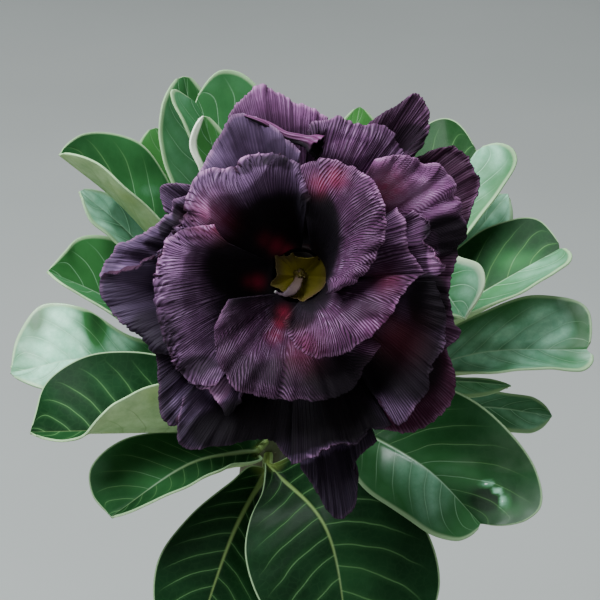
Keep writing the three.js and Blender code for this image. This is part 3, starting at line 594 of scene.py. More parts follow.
# For each leaf: its height as a share of the crown's stretch of stem; how far its left and right halves bow down; its
# look, which is the painted light on the left and right halves (below 0 painted shade, above 1 a painted milky
# reflection), how glossy, young and white-rimmed; the midrib's middle and tip; the margins from base to tip, as seen
# from above; and spots of painted light, painted shade below 0 and painted white glints above 3.4: x, y, half width,
# half height and strength. Places are in the bloom's frame.
leafBlades = {
    "leafBottomLeft": {"height": 0.1, "bow": (0, 0), "look": (0, 0, 0.02, 0, 0), "facing": (0.02, -0.5, 0.85),
        "rib": [(-16.5, -63.5, -65.5), (-27, -93.5, -62)],
        "left": [(-9.5, -57.5, -71.5), (-7, -69, -70), (-9, -82.5, -67), (-17, -92, -64)],
        "right": [(-12.6, -47.8, -73), (-17.5, -51.5, -69.5), (-27.5, -59.5, -65.5), (-35.5, -70.5, -64),
            (-36.5, -82, -63), (-33, -91, -63)]},
    "leafRightBehind": {"height": 0.05, "bow": (1, 1), "look": (1.35, 1.6, 0.05, 0, 0),
        "rib": [(44, -33.5, -82.5), (65, -35.5, -80)],
        "left": [(34, -28.5, -86), (52, -29.5, -86), (62.5, -31.5, -83.5)],
        "right": [(38.5, -38, -80), (54, -39.5, -79), (61.5, -39.5, -78.5)]},
    "leafLowerLeft": {"height": 0.28, "bow": (4, 2), "look": (0.15, 0.35, 0.02, 0, 0), "facing": (-0.3, -0.2, 0.93),
        "rib": [(-27, -46, -57), (-46, -58.5, -50)],
        "left": [(-9.5, -45.5, -66), (-15, -46, -59.5), (-19, -47, -52.5), (-26.5, -50.5, -47.5), (-36.5, -54.5, -46),
            (-42.5, -57.5, -47.5)],
        "right": [(-7, -39.3, -69), (-19.5, -40, -66.5), (-30, -38.5, -63.5), (-44.5, -40.5, -61.5), (-52, -47, -60.5),
            (-51, -54, -55)],
        "paintedLightSpots": [(-36, -50, 8, 3, 0.6)]},
    "leafBottom": {"height": 0.15, "bow": (1, 1), "look": (0, -0.12, 0.04, 0, 0), "facing": (0.02, -0.5, 0.85),
        "rib": [(6.5, -62, -54.5), (12.5, -94.5, -51)],
        "left": [(11, -40, -57.5), (24, -52, -52), (32, -64, -50), (34, -76.5, -50.5), (27.5, -89.5, -53)],
        "right": [(-8.8, -46.8, -69.5), (-9.5, -53.5, -64.5), (-12.5, -60, -58.5), (-13.5, -68.5, -54.5),
            (-9.5, -80, -51.5), (0, -90.5, -51)],
        "paintedLightSpots": [(-7, -48, 7, 9, -0.9), (12, -72, 8, 7, 0.25)]},
    "leafLeftGlossy": {"height": 0.2, "bow": (1, 1), "look": (1.6, 1.25, 0.8, 0, 0),
        "rib": [(-51, -21, -75), (-73, -24, -68)],
        "left": [(-26.5, -31.5, -70), (-43, -31.5, -66.5), (-55.5, -30, -66), (-65, -28, -67), (-71, -26, -68)],
        "right": [(-28.5, -19, -78), (-44, -14.5, -77.5), (-56, -7.5, -77.5), (-66.5, -7, -78), (-72.5, -16, -74)],
        "paintedLightSpots": [(-52.5, -11.5, 2.6, 6.5, -1.1), (-61, -8.6, 3, 3, 0.9), (-60.5, -18, 6.5, 5.5, 1.2),
            (-45.5, -15, 4, 4, 0.4), (-67.5, -11, 2, 4, -0.6)]},
    "leafRightLow": {"height": 0.3, "bow": (1, 1), "look": (1.1, 1.3, 0.05, 0.1, 0),
        "rib": [(36, -27, -78.5), (54, -27.5, -76)],
        "left": [(26, -25, -81.5), (38.5, -25.5, -81), (50, -26, -78)],
        "right": [(25.5, -30.5, -76.5), (38.5, -31, -76), (50, -29.5, -76)]},
    "leafBackLeft": {"height": 0.35, "bow": (1, 1), "look": (0.7, 0.7, 0.1, 0.5, 0),
        "rib": [(-28.5, 19, -80), (-37, 38.5, -76)],
        "left": [(-35, 12.5, -79.5), (-40.5, 25.5, -79), (-42, 34, -77.5), (-39.5, 37.5, -77)],
        "right": [(-19.5, 19, -79.5), (-27, 31.5, -78), (-33.5, 37.5, -76.5)]},
    "leafLeftFolded": {"height": 0.4, "bow": (6, 2), "look": (0.2, -0.2, 0.02, 0, 0),
        "rib": [(-37, -37.5, -53.5), (-65, -37.5, -44)],
        "left": [(-15, -29.5, -53.5), (-24, -26, -43.5), (-33.5, -25.5, -39), (-44, -30, -37.5), (-52.5, -38.5, -38.5),
            (-60, -39.5, -41.5)],
        "right": [(-15.5, -27.5, -63.5), (-26, -22, -60), (-39.5, -18.5, -58.5), (-53, -19.5, -56.5),
            (-62, -25.5, -53.5), (-64, -32.5, -47)],
        "paintedLightSpots": [(-40, -28, 8, 3, 0.2)]},
    "leafRight": {"height": 0.45, "bow": (2, 5), "look": (1.05, 1.4, 0.3, 0, 0),
        "rib": [(42.5, -19.5, -65), (71.5, -18, -62)],
        "left": [(25.5, -20, -75), (45.5, -9, -71), (58.5, -4.5, -71), (71.5, -6.5, -69), (73.5, -13.5, -64)],
        "right": [(25, -25, -60), (37, -23, -53.5), (49, -23.5, -52.5), (61.5, -22.5, -54.5), (72, -23, -59),
            (74, -21, -60)],
        "paintedLightSpots": [(62.5, -12, 5, 4.5, 1.4), (53, -14.5, 7, 2.8, 1.1), (40, -16.5, 4, 2, 0.4), (71, -8, 3.5, 8, -0.35),
            (42, -20, 12, 2.2, 0.6), (66, -20, 5, 3, -0.3)]},
    "leafLeftSmall": {"height": 0.42, "bow": (4, 2), "look": (1.05, 0.95, 0.2, 0.1, 0),
        "rib": [(-46.5, -6.5, -67), (-62.5, 1.5, -58)],
        "left": [(-28, -21.5, -70), (-37.5, -15, -60), (-46, -9, -54.5), (-54, -4.5, -54), (-59, -1.5, -54)],
        "right": [(-28, -3, -73.5), (-40.5, 6.5, -73), (-48.5, 10.5, -71.5), (-55, 10.5, -68.5), (-58.5, 7, -63.5)]},
    "leafTopRightBehind": {"height": 0.5, "bow": (1, 1), "look": (2.2, 3.3, 0.1, 0, 0),
        "rib": [(38.5, 4, -75.5), (53, 21.5, -74)],
        "left": [(27, 1, -76.5), (36, 13.5, -77.5), (45, 21, -76.5)],
        "right": [(40.5, -4.5, -73), (51, 7.5, -72.5), (54.5, 15.5, -72.5)]},
    "leafUnderUpperLeft": {"height": 0.6, "bow": (1, 1), "look": (1.7, 3.3, 0.2, 0, 0),
        "rib": [(-43, 11, -68), (-55, 21.5, -62)],
        "left": [(-30, -5.5, -63), (-42.5, 5.5, -61), (-48.5, 11, -59.5), (-52.5, 15, -59.5)],
        "right": [(-33, 11.5, -72), (-42, 18.5, -71), (-49, 21.5, -68), (-53, 22.5, -64.5)]},
    "leafTop": {"height": 0.6, "bow": (1, 1), "look": (0.7, 0.7, 0.05, 0.8, 0),
        "rib": [(11.5, 23.5, -68), (15, 43, -66)],
        "left": [(5.5, 19.5, -69), (7.5, 33.5, -68.5), (11.5, 41, -66.5)],
        "right": [(18, 19.5, -69.5), (21.5, 32.5, -69), (19, 40, -66.5)]},
    "leafTopLeftBehind": {"height": 0.62, "bow": (1, 2), "look": (1.1, 0.9, 0.1, 0.1, 0),
        "rib": [(-24.5, 27.5, -75.5), (-29.5, 51, -70)],
        "left": [(-19.5, 4, -69), (-32.5, 24, -65.5), (-35.5, 35, -65.5), (-34.5, 45, -67), (-32.5, 49.5, -69)],
        "right": [(-15.5, 20, -76), (-20, 37.5, -73.5), (-24, 47, -71.5), (-27, 50.5, -70.5)]},
    "leafUpperRight": {"height": 0.68, "bow": (2, 5), "look": (0.1, 1.15, 0.02, 0, 0),
        "rib": [(43.5, -5, -61.5), (64.5, 7, -60)],
        "left": [(25, -4.5, -66.5), (36.5, 5, -68), (48, 13, -69), (59, 15, -67.5), (64, 10, -62)],
        "right": [(25, -16, -60), (40, -9.5, -49.5), (51, -5, -48), (62.5, 1.5, -51.5), (68, 5, -55), (66.5, 7, -57)],
        "paintedLightSpots": [(54, 4, 7, 3, 0.7)]},
    "leafUpperLeft": {"height": 0.75, "bow": (4, 2), "look": (0.45, 0.6, 0.06, 0, 0),
        "rib": [(-43, 17, -62), (-58.5, 30, -50)],
        "left": [(-23.5, 3, -56.5), (-34.5, 15, -47.5), (-42, 21.5, -43), (-49.5, 27.5, -43), (-55, 30, -46)],
        "right": [(-30.5, 18.5, -74), (-34.5, 27, -72), (-41, 34.5, -69), (-50, 36.5, -64), (-56.5, 34, -55)],
        "paintedLightSpots": [(-38, 22, 6, 4, 0.5)]},
    "leafLowerRight": {"height": 0.8, "bow": (1, 1), "look": (0.3, 0.8, 0.6, 0, 0),
        "rib": [(30.5, -46.5, -48.5), (43.5, -59.5, -44)],
        "left": [(24.5, -25, -55.5), (38.5, -28, -50), (48.5, -35, -48), (57.5, -47, -48), (58, -56, -45),
            (51, -60, -43)],
        "right": [(7.5, -36.5, -53.5), (14.5, -50, -46), (24, -57, -43.5), (32.5, -62.5, -42.5), (39, -63.5, -42.5),
            (42, -62, -43)],
        "paintedLightSpots": [(24, -45, 7, 7, 0.4), (33, -55, 7, 7, 0.55), (36, -46, 8, 4, 0.6), (42, -49, 5, 3, 0.4),
            (45.5, -53.5, 4, 2.6, -1.2), (45.3, -50.2, 1.4, 0.7, 4.2), (47.6, -51.9, 1.1, 0.8, 4.2),
            (49.2, -54.2, 0.8, 1.5, 5), (51, -56, 4, 2, 0.4)]},
    "leafTopRight": {"height": 0.85, "bow": (2, 2), "look": (-0.25, 1.85, 0.05, 0.1, 0),
        "rib": [(31.5, 13, -64), (44, 31.5, -62)],
        "left": [(17.5, 9.5, -67.5), (25.5, 28.5, -69.5), (30.5, 37.5, -70), (36, 40.5, -70), (41, 38, -66)],
        "right": [(25, -9.5, -60), (34.5, 2, -59), (42, 11.5, -58.5), (50, 22, -59.5), (54, 29.5, -60), (51, 34, -61),
            (46.5, 33, -62)]},
    "leafTopLeft": {"height": 0.9, "bow": (1, 2), "look": (1.15, 1.05, 0.1, 0, 0),
        "rib": [(-14.5, 22, -65.5), (-26, 43.5, -61)],
        "left": [(-18.5, 12, -60), (-24.5, 29, -56.5), (-28, 36, -55.5), (-31.5, 43, -56), (-32, 47, -57),
            (-29, 45.5, -59)],
        "right": [(-2.5, 17, -67.5), (-3.5, 33.5, -67), (-9.5, 46.5, -66.5), (-15, 51.5, -65), (-21, 51.5, -63),
            (-24.5, 47.5, -62)]},
    "leafRightYoung": {"height": 0.95, "bow": (1, 1), "look": (1.35, 1.35, 0.1, 0, 0.25),
        "rib": [(31.5, -2, -47.5), (39, -10, -34)],
        "left": [(30.5, 9, -50), (38, 5, -43), (43, 2.5, -37), (43.5, -3, -34)],
        "right": [(24, -10, -44.5), (32, -9.5, -39), (36.5, -9.5, -35)]},
    "leafWhiteEdge": {"height": 0.98, "bow": (1, 1), "look": (1, 1, 0.1, 0.4, 1),
        "rib": [(-18.5, 22.5, -51.5), (-23.5, 39, -47)],
        "left": [(-20, 12.5, -50), (-24.5, 26, -45.5), (-26.5, 31, -44.5), (-26, 35.5, -44.5), (-24.5, 38, -46)],
        "right": [(-13.5, 19, -52.5), (-17.5, 33.5, -49), (-21.5, 38.5, -47.5)]},
}


def leafLines(leaf):  # where its stalk starts and ends and how it is turned, then both margins and the midrib
    t = stem["crownFrom"] + (stem["crownTo"] - stem["crownFrom"]) * leaf["height"]
    centre = stemLine.at(t)
    foot = toCrown(centre)
    axis = unit(toCrown(centre + stemLine.heading(t)) - foot)
    outward = np.array(leaf.get("facing", leaf["rib"][0] - foot))
    outward = unit(outward - axis * (outward @ axis))
    root = foot + outward * (float(blend(stem["radii"], t)) + gap + 0.1)
    knee = root + outward * leafShape["stalkRun"]
    side = np.array(leaf["right"][0], float) - np.array(leaf["left"][0], float)
    side = unit(side - outward * (side @ outward)) * leafShape["stalk"]
    left, right = (Line([knee + side * way, *leaf[key], leaf["rib"][1]]) for key, way in [("left", -1), ("right", 1)])
    return root - outward * leafShape["rootDepth"], knee, side, left, right, Line([knee, *leaf["rib"]])


def makeLeaf(name, leaf, seed):
    root, knee, side, left, right, rib = leafLines(leaf)
    half = np.concatenate([np.linspace(0, 1, 22)[:-1] ** 1.7 * 0.955, [0.955, 0.975, 0.988, 0.996, 1]])
    x = np.concatenate([-half[:0:-1], half])  # -1 at the left margin, 0 on the midrib and 1 at the right margin
    out = np.abs(x)
    share = np.concatenate([np.linspace(0, 1, leafShape["rows"])[:-4] ** 1.12, [0.975, 0.985, 0.993, 1]])
    share = np.unique(np.round(share, 5))
    middle = rib.along(share)
    along = rib.heading(rib.timeOf(share))
    grid = np.zeros((len(share), len(x), 3))
    tipFrom = 0.975  # the last stretch of both margins is the rim of the tip
    close = smooth(0.9, 1, share)[:, None]  # the last rows follow the margin round the tip
    for j, place in enumerate(x):
        edge, way, bow = (left, -1, leaf["bow"][0]) if place < 0 else (right, 1, leaf["bow"][1])
        margin = edge.along(share * tipFrom)
        up = unit(np.cross((margin - middle) * way, along))
        bulge = 2 * out[j] * (1 - out[j]) * bow * np.sin(math.pi * np.sqrt(share * tipFrom))
        straight = middle + (margin - middle) * out[j] - up * bulge[:, None]
        grid[:, j] = straight * (1 - close) + edge.along(1 - (1 - tipFrom) * out[j]) * close
    stalk = np.linspace(0, 1, leafShape["stalkRows"], endpoint=False)
    foot = root + (knee - root) * stalk[:, None]
    grid = np.concatenate([foot[:, None] + side * x[None, :, None], grid])
    run = np.concatenate([stalk * 0, share])
    width = np.linalg.norm(grid - grid[:, len(x) // 2][:, None], axis=2)
    run = run[:, None]  # down a column; x and out run along a row
    broad = smooth(0.03, 0.3, run) * smooth(1.0, 0.85, run)
    shake = [wander(run * 9 + k, seed + k) for k in (0, 40)]
    lift = np.where(x < 0, *shake) * leafShape["wave"] * out**2.2 * broad
    beat = run * leafShape["veins"] - out - out**2 * 0.9 + np.where(x < 0, 0, 0.5)
    swell = np.cos(2 * math.pi * beat) * leafShape["quilt"] * np.sin(math.pi * out) * broad
    grid = grid + normalsOf(grid) * (lift - swell * 0.5)[..., None]
    sideOff = np.abs(np.where(x < 0, width[:, :1], width[:, -1:]) - width)
    edgeOff = np.minimum(sideOff, rib.length * (1 - run) + width * 0.25)
    slim = rimmedGrid(edgeOff, leafShape["rim"])
    spread = smooth(0.0, 0.12, run)
    ridge = leafShape["stalk"] * (1 - spread) + (leafShape["keel"] * (1 - 0.75 * run)) * spread
    breadth = leafShape["stalk"] * (1 - spread) + (1.25 - 0.75 * run) * spread
    rounding = np.sqrt(np.clip(1 - (width / breadth) ** 2, 0, 1)) * (slim > 0)
    flat = leafShape["blade"] * smooth(-0.01, 0.1, run) * slim
    groove = leafShape["groove"] * np.exp(-((width / leafShape["grooveWidth"]) ** 2)) * smooth(0.05, 0.2, run) * slim
    topRidge = leafShape["stalk"] * (1 - smooth(0.0, 0.16, run))
    leftPaintedLight, rightPaintedLight, gloss, young, pale = leaf["look"]
    # painted light and shade for each half, plus the spots of painted light, shade, reflection and glint
    light = np.where(x < 0, leftPaintedLight, rightPaintedLight) + np.zeros(grid.shape[:2])
    for spotX, spotY, wide, tall, strength in leaf.get("paintedLightSpots", []):
        light += strength * np.exp(-(((grid[..., 0] - spotX) / wide) ** 2) - ((grid[..., 1] - spotY) / tall) ** 2)
    return thinPiece(name, grid, np.maximum(flat + topRidge * rounding - groove, 0), flat + ridge * rounding, {
        "across": x, "along": run, "edge": edgeOff, "offRib": width,
        "light": light, "gloss": gloss, "young": young, "pale": pale,
    })


def makeLeafSkin():
    look = Finish("leafSkin", Coat_Roughness=0.22, Specular_IOR_Level=0.06)
    across, along, edge, offRib, under = map(look.attribute, ("across", "along", "edge", "offRib", "under"))
    light, gloss, young, pale = map(look.attribute, ("light", "gloss", "young", "pale"))
    out = abs(across)
    rightHalf = look.maths("GREATER_THAN", across, 0.0)
    beat = along * leafShape["veins"] - out - out * out * 0.9 + rightHalf * 0.5 + look.noise(70, 2) * 0.6
    near = abs(look.maths("FRACT", beat) - 0.5) * 2  # 1 at a vein
    fade = look.step(0.95, 0.5, out) * look.step(0.0, 0.06, along)
    vein = look.step(0.90, 1.0, near) * fade
    halo = look.step(0.45, 1.0, near) * fade
    web = look.step(0.12, 0.0, look.cells(520, "DISTANCE_TO_EDGE"))
    rib = look.step(0.95, 0.3, offRib + along * 0.75)
    # the pale border is the leaf's own, and it is wider where the painted light is stronger
    bright = look.maths("MINIMUM", light, 1.0)
    border = look.step(0.55, 0.2, edge * (1 - bright * 0.62))
    cloud = look.noise(55, 4, 0.6)
    mottle = look.noise(190, 4, 0.65)
    # shaded and lit copies of the leaf green, mixed by the painted light
    shadedGreen = look.ramp(cloud, (0.3, (0.0014, 0.012, 0.003)), (0.55, (0.003, 0.022, 0.0055)),
                     (0.75, (0.007, 0.040, 0.012)))
    litGreen = look.ramp(cloud, (0.3, (0.014, 0.075, 0.020)), (0.55, (0.024, 0.110, 0.032)), (0.75, (0.040, 0.150, 0.050)))
    # the painted milky reflection
    paintedReflection = look.ramp(mottle, (0.3, (0.17, 0.43, 0.28)), (0.6, (0.32, 0.62, 0.45)))
    green = look.mix(shadedGreen, litGreen, light)
    # painted shade where the painted light is below 0
    green = look.mix(green, (0.0035, 0.012, 0.0045), light * -1)
    # patches where the painted reflection shows, weaker on the veins and stronger as the painted light rises above 1
    sheen = look.step(0.38, 0.6, look.noise(42), 0.15, 1.35) * look.step(1.0, 0.75, out, 0.45, 1.0)
    green = look.mix(green, paintedReflection, (light - 1) * (sheen * (1 - near * 0.3)))
    green = look.mix(green, (0.045, 0.170, 0.030), young * 0.8)
    green = look.mix(green, (0.030, 0.095, 0.028), halo * 0.22)
    # the veins: their own paler green, lightened further with the painted light
    paler = look.mix((0.085, 0.19, 0.065), (0.30, 0.55, 0.38), light - 0.6)
    green = look.mix(green, paler, vein * 0.55)
    green = look.mix(green, (0.030, 0.085, 0.028), web * (mottle * 0.13))
    # painted white glints where the painted light is above 3.4
    green = look.mix(green, (0.80, 0.86, 0.82), look.step(3.4, 4.0, light))
    # the midrib: its own pale green, lightened further with the painted light
    ribTint = look.mix((0.17, 0.26, 0.085), (0.40, 0.60, 0.42), light * 0.8)
    green = look.mix(green, ribTint, rib * 0.85)
    sage = look.ramp(mottle, (0.3, (0.26, 0.41, 0.18)), (0.55, (0.37, 0.53, 0.26)), (0.75, (0.46, 0.61, 0.34)))
    sage = look.mix(sage, (0.30, 0.42, 0.09), look.step(0.45, 0.7, cloud) * 0.5)
    sage = look.mix(sage, (0.15, 0.27, 0.08), vein * 0.35)
    sage = look.mix(sage, (0.40, 0.48, 0.24), rib * 0.7)
    colour = look.mix(green, sage, look.step(0.4, 0.6, under))
    colour = look.mix(colour, (0.27, 0.41, 0.22), border * 0.72)
    colour = look.mix(colour, (0.13, 0.19, 0.04), look.step(0.09, 0.0, along) * 0.7)
    colour = look.mix(colour, (0.60, 0.66, 0.52), look.step(2.3, 1.3, edge) * pale * (1 - rightHalf))
    look.wear("Coat Weight", gloss * look.step(0.3, 0.65, cloud))
    roughness = look.follow(cloud, 0.46, 0.56) - gloss * 0.25 + under * 0.15
    height = halo * -0.35 + vein * -0.6 + web * -0.05 + look.noise(700) * 0.08 + mottle * 0.2
    return look.skin(colour, roughness, height, 0.0002, 0.5)


leafSkin = makeLeafSkin()
for number, (name, leaf) in enumerate(leafBlades.items()):
    settle(makeLeaf(name + "Blade", leaf, 30 + 7 * number), leafSkin, name)
print("leaves done:", len(leafBlades))


# the bloom
tube = {
    "line": [(0, 0, -24), (0, -0.5, -31), (0, -3.5, -39), (0.5, -8, -46)],
    "radii": [7.6, 7.7, 6.1, 3.6], "cupRadius": 6, "cupDepth": 8, "rimDepth": 19.6,
}
tubeLine = Line(tube["line"])
cupFloor = -tube["rimDepth"] - tube["cupDepth"] + gap
whorls = {  # the root's depth, how a rib leaves it (run and climb), how it comes to the margin (back and crest), and
    # half the angle that a root takes up (hold)
    "steep": {"depth": -21, "run": 0.06, "climb": 21, "back": 0.5, "crest": 3.5, "hold": 38},
    "hollow": {"depth": -21, "run": 0.32, "climb": 0, "back": 0.22, "crest": 5.5, "hold": 40},
    "sloped": {"depth": -21, "run": 0.16, "climb": 11, "back": 0.4, "crest": 3, "hold": 38},
    "middle": {"depth": -25, "run": 0.34, "climb": 0, "back": 0.3, "crest": 3, "hold": 26},
    "outer": {"depth": -30, "run": 0.34, "climb": 0, "back": 0.32, "crest": 2.5, "hold": 24},
}
petalShape = {
    "rootRadius": 6.1, "thick": 0.2, "rim": 0.3, "rows": 58, "pitch": 0.6, "pleat": 0.07, "ruffle": 0.6,
    "teeth": 0.15, "swag": 0.7, "ripple": 0.16, "brightness": 1.22, "contrast": 1.2,
}
# For each petal: its whorl; its look, which is how blue, how red and how much painted light it gets, how far the
# painted shade of its hollow reaches and how deep its lines are, with their painted shade; how far its lines swing
# round on the way out; the parts of its rim that roll over: from and to as shares of the margin, width, radius, and 1
# forwards or -1 back; and its margin in the bloom's frame.
petals = {
    "innerTopLeft": {"whorl": "hollow", "look": (0.75, 0.25, 0.66, 0.6, 0.6), "sweep": 0.05,
        "rolls": [(-0.1, 0.7, 6, 5.5, -1)],
        "edge": [(-31, 5.5, -2), (-24.5, 13.5, 2), (-23.5, 20, 3), (-15, 22, 5), (-8.5, 26.5, 4), (-2, 25.5, 6),
            (2, 16.5, 4)]},
    "innerRight": {"whorl": "steep", "look": (0.3, 0.3, 0.4, 0.3, 1), "sweep": 0.13,
        "edge": [(-1, 24, -1.5), (7, 25.5, 3), (14.5, 21.5, 5), (18.5, 15, 6), (18, 7.5, 6), (14, 0.5, 6), (6, -5, 5)]},
    "innerLowerRight": {"whorl": "steep", "look": (0.3, 0.35, 0.38, 0.3, 1), "sweep": 0.08,
        "edge": [(28.5, 0.5, -3), (23.5, -3, 2), (20, -8.5, 5), (15.5, -13.5, 6), (7, -18, 7), (-0.5, -16, 8),
            (-4, -10.5, 8)]},
    "innerLowerLeft": {"whorl": "sloped", "look": (0.35, 0.3, 0.27, 0.3, 1), "sweep": -0.12,
        "edge": [(18, -15.5, 1), (14.5, -20, 1), (11, -25.5, 1), (-2, -27.5, 4), (-13.5, -25, 6), (-18.6, -17.5, 7),
            (-18.2, -10.5, 7), (-15.6, -5.4, 6.5)]},
    "innerLeft": {"whorl": "hollow", "look": (0.6, 0.3, 0.5, 0.6, 0.8), "sweep": -0.06,
        "rolls": [(0.1, 1.1, 6.5, 5.5, -1)],
        "edge": [(-18.5, -24.5, 1), (-25.5, -23.5, 0), (-28, -19.5, 1), (-31.5, -5.5, 3), (-31.5, 0.5, 3),
            (-29.5, 5.5, 4), (-18.5, 8, 5)]},
    "middleTopLeft": {"whorl": "middle", "look": (0.85, 0.2, 0.66, 0.2, 0.3),
        "edge": [(-24.5, 19, -4), (-20.5, 26.5, -5), (-17.5, 32, -6), (-15, 36, -8), (-10.5, 35.5, -6),
            (-5.5, 32.5, -2), (0, 27, -2)]},
    "middleTopRight": {"whorl": "middle", "look": (0.45, 0.25, 0.42, 0.3, 0.8), "rolls": [(0.1, 0.9, 3.5, 3.5, -1)],
        "edge": [(2, 29.5, -1), (4, 34.5, -4), (8, 35.5, -4), (15.5, 33.5, -5), (20.5, 32.5, -6), (23, 28, -7),
            (22.5, 24, -7)]},
    "middleRight": {"whorl": "middle", "look": (0.4, 0.35, 0.62, 0.4, 0.7), "sweep": 0.38,
        "rolls": [(0.2, 0.8, 4.5, 4.5, -1)],
        "edge": [(16.5, 25.5, -1), (23, 26.5, -3), (29.5, 24, -5), (34, 23, -6), (35.5, 18.5, -6), (37.5, 14.5, -7),
            (37.5, 8, -11), (33, 4.5, -13)]},
    "curlRightInner": {"whorl": "middle", "look": (0.45, 0.3, 0.45, 0.3, 0.8),
        "edge": [(21.5, 15, -1), (23, 11.5, 0), (23.5, 7.5, 0), (24.5, 5, -1), (27.5, 0.5, -2)]},
    "curlRightOuter": {"whorl": "middle", "look": (0.45, 0.3, 0.45, 0.3, 0.8), "rolls": [(0.1, 0.8, 1.8, 0.9, 1)],
        "edge": [(25, 14, -4), (28.5, 12.5, -4), (29.5, 10.5, -3), (29, 7.5, -4), (30.5, 4, -4), (32.5, 1.5, -5),
            (30.5, -0.5, -5)]},
    "middleLowerRight": {"whorl": "middle", "look": (0.7, 0.2, 0.16, 0.6, 0.8), "rolls": [(0.3, 0.55, 2, 1.2, 1)],
        "edge": [(30, -1.5, -4), (32.5, -9, -6), (32, -15.5, -7), (29, -22.5, -6), (29, -25, -6), (25.5, -29.5, -5),
            (22, -33.5, -5), (18, -29, -6)]},
    "middleBottom": {"whorl": "middle", "look": (0.7, 0.1, 0.05, 0.3, 0.7), "rolls": [(0.1, 0.75, 2.2, 1.2, 1)],
        "edge": [(20.5, -33.5, -8), (17, -35.5, -8), (11, -38.5, -7), (7, -38.5, -5), (2, -41, -6), (-2, -42.5, -6)]},
    "middleLowerLeft": {"whorl": "middle", "look": (0.8, 0.1, 0.12, 0.5, 0.7),
        "edge": [(-2, -42, -9), (-7, -37, -10), (-13.5, -37.5, -9), (-20, -38.5, -8), (-26, -39, -7), (-27.5, -36, -7),
            (-26, -27, -5)]},
    "tuckLowerLeft": {"whorl": "middle", "look": (0.7, 0.2, 0.25, 0.5, 0.8),
        "edge": [(-12.5, -26.5, -2), (-13.5, -28, -3), (-16, -31, -3), (-18.5, -28, -2), (-21, -25.5, -2),
            (-25, -24, -2)]},
    "middleLeft": {"whorl": "middle", "look": (0.9, 0.15, 0.24, 0.4, 0.4), "sweep": -0.06,
        "rolls": [(-0.1, 0.35, 2.5, 1.3, -1), (0.6, 1.1, 2.2, 1.3, 1)],
        "edge": [(-24.5, -19.5, -4), (-33, -17.5, -6), (-38, -13, -7), (-42, -9, -8), (-45, -3.5, -9), (-44, -0.5, -8),
            (-37, 3, -5), (-26.5, 10.5, -2)]},
    "outerTop": {"whorl": "outer", "look": (0.45, 0.35, 0.75, 0.3, 0.4), "rolls": [(0.1, 0.9, 3, 4, -1)],
        "edge": [(-16.5, 36, -13), (-13.5, 40.5, -13), (-7, 42.5, -12), (-1, 39.5, -13), (6.5, 36, -14)]},
    "outerTopRight": {"whorl": "outer", "look": (0.3, 0.35, 0.3, 0.3, 0.8),
        "edge": [(15.5, 34.5, -8), (21.5, 38, -8), (26.5, 41, -9), (28.5, 38.5, -10), (29, 35, -11), (26, 27, -12)]},
    "outerRight": {"whorl": "outer", "look": (0.2, 0.6, 0.22, 0.3, 0.6), "rolls": [(0.2, 0.9, 2.5, 3, 1)],
        "edge": [(26.5, 27, -14), (32, 29, -14), (37, 28, -15), (41, 23, -16), (40.5, 18.5, -16), (38, 11.5, -15)]},
    "outerRightLow": {"whorl": "outer", "look": (0.2, 0.5, 0.2, 0.3, 0.6),
        "edge": [(36.5, 8, -13), (35, 2.5, -14), (34, -4, -14), (35, -10.5, -14), (36, -14, -13), (33, -16.5, -12)]},
    "outerLowerRight": {"whorl": "outer", "look": (0, 1, 0.28, 0.3, 0.6),
        "edge": [(33, -16.5, -11), (35, -23, -12), (34.5, -28.5, -13), (31, -32.5, -13), (25, -35.5, -13),
            (19, -35, -12)]},
    "outerBottom": {"whorl": "outer", "look": (0.8, 0, 0.1, 0.3, 0.6),
        "edge": [(17.5, -37.5, -12), (12.5, -42.5, -13), (13, -48.5, -14), (12, -53.5, -15), (9, -55.5, -15),
            (6, -53, -14), (3, -47.5, -13), (0, -43.5, -12)]},
    "outerLowerLeft": {"whorl": "outer", "look": (0.8, 0.1, 0.14, 0.3, 0.7),
        "edge": [(-24.5, -27, -9), (-27.5, -33.5, -11), (-29.5, -34, -11), (-31.5, -31, -11), (-32, -24.5, -10),
            (-32.5, -17, -9)]},
    "outerLeft": {"whorl": "outer", "look": (0.85, 0.2, 0.42, 0.3, 0.4), "rolls": [(0, 0.9, 3, 4, -1)],
        "edge": [(-45, -1, -12), (-45.5, 1.5, -13), (-42.5, 6, -13), (-35.5, 9.5, -13), (-30.5, 13.5, -12),
            (-29, 16.5, -12), (-25.5, 18, -10)]},
    "outerLeftTop": {"whorl": "outer", "look": (0.7, 0.2, 0.45, 0.3, 0.7),
        "edge": [(-31, 14.5, -16), (-32, 20, -16), (-28.5, 21, -15), (-24.5, 20.5, -14)]},
}
glows = [  # spots of crimson: x, y, reach and strength in the bloom's frame, and the one petal they show on
    (-5.4, 6.9, 1.9, 0.5), (-3.2, 5.6, 1.7, 0.55), (-8, 8.2, 1.8, 0.25), (-9.9, -1.4, 1.6, 0.55),
    (-11.6, -1.4, 1.5, 0.3), (-4, -8.4, 1.5, 0.5), (-4.8, -11, 1.6, 0.4), (-5.6, -13.4, 1.8, 0.3),
    (4.2, 19.8, 2.2, 0.34), (7.8, 21, 2.4, 0.34), (19.6, 19.2, 3.6, 0.75, "middleRight"), (-19.5, 13, 4.2, 0.4),
    (1, -17, 4, 0.15), (22, -14, 5, 0.15), (19, -1, 3, 0.2),
]
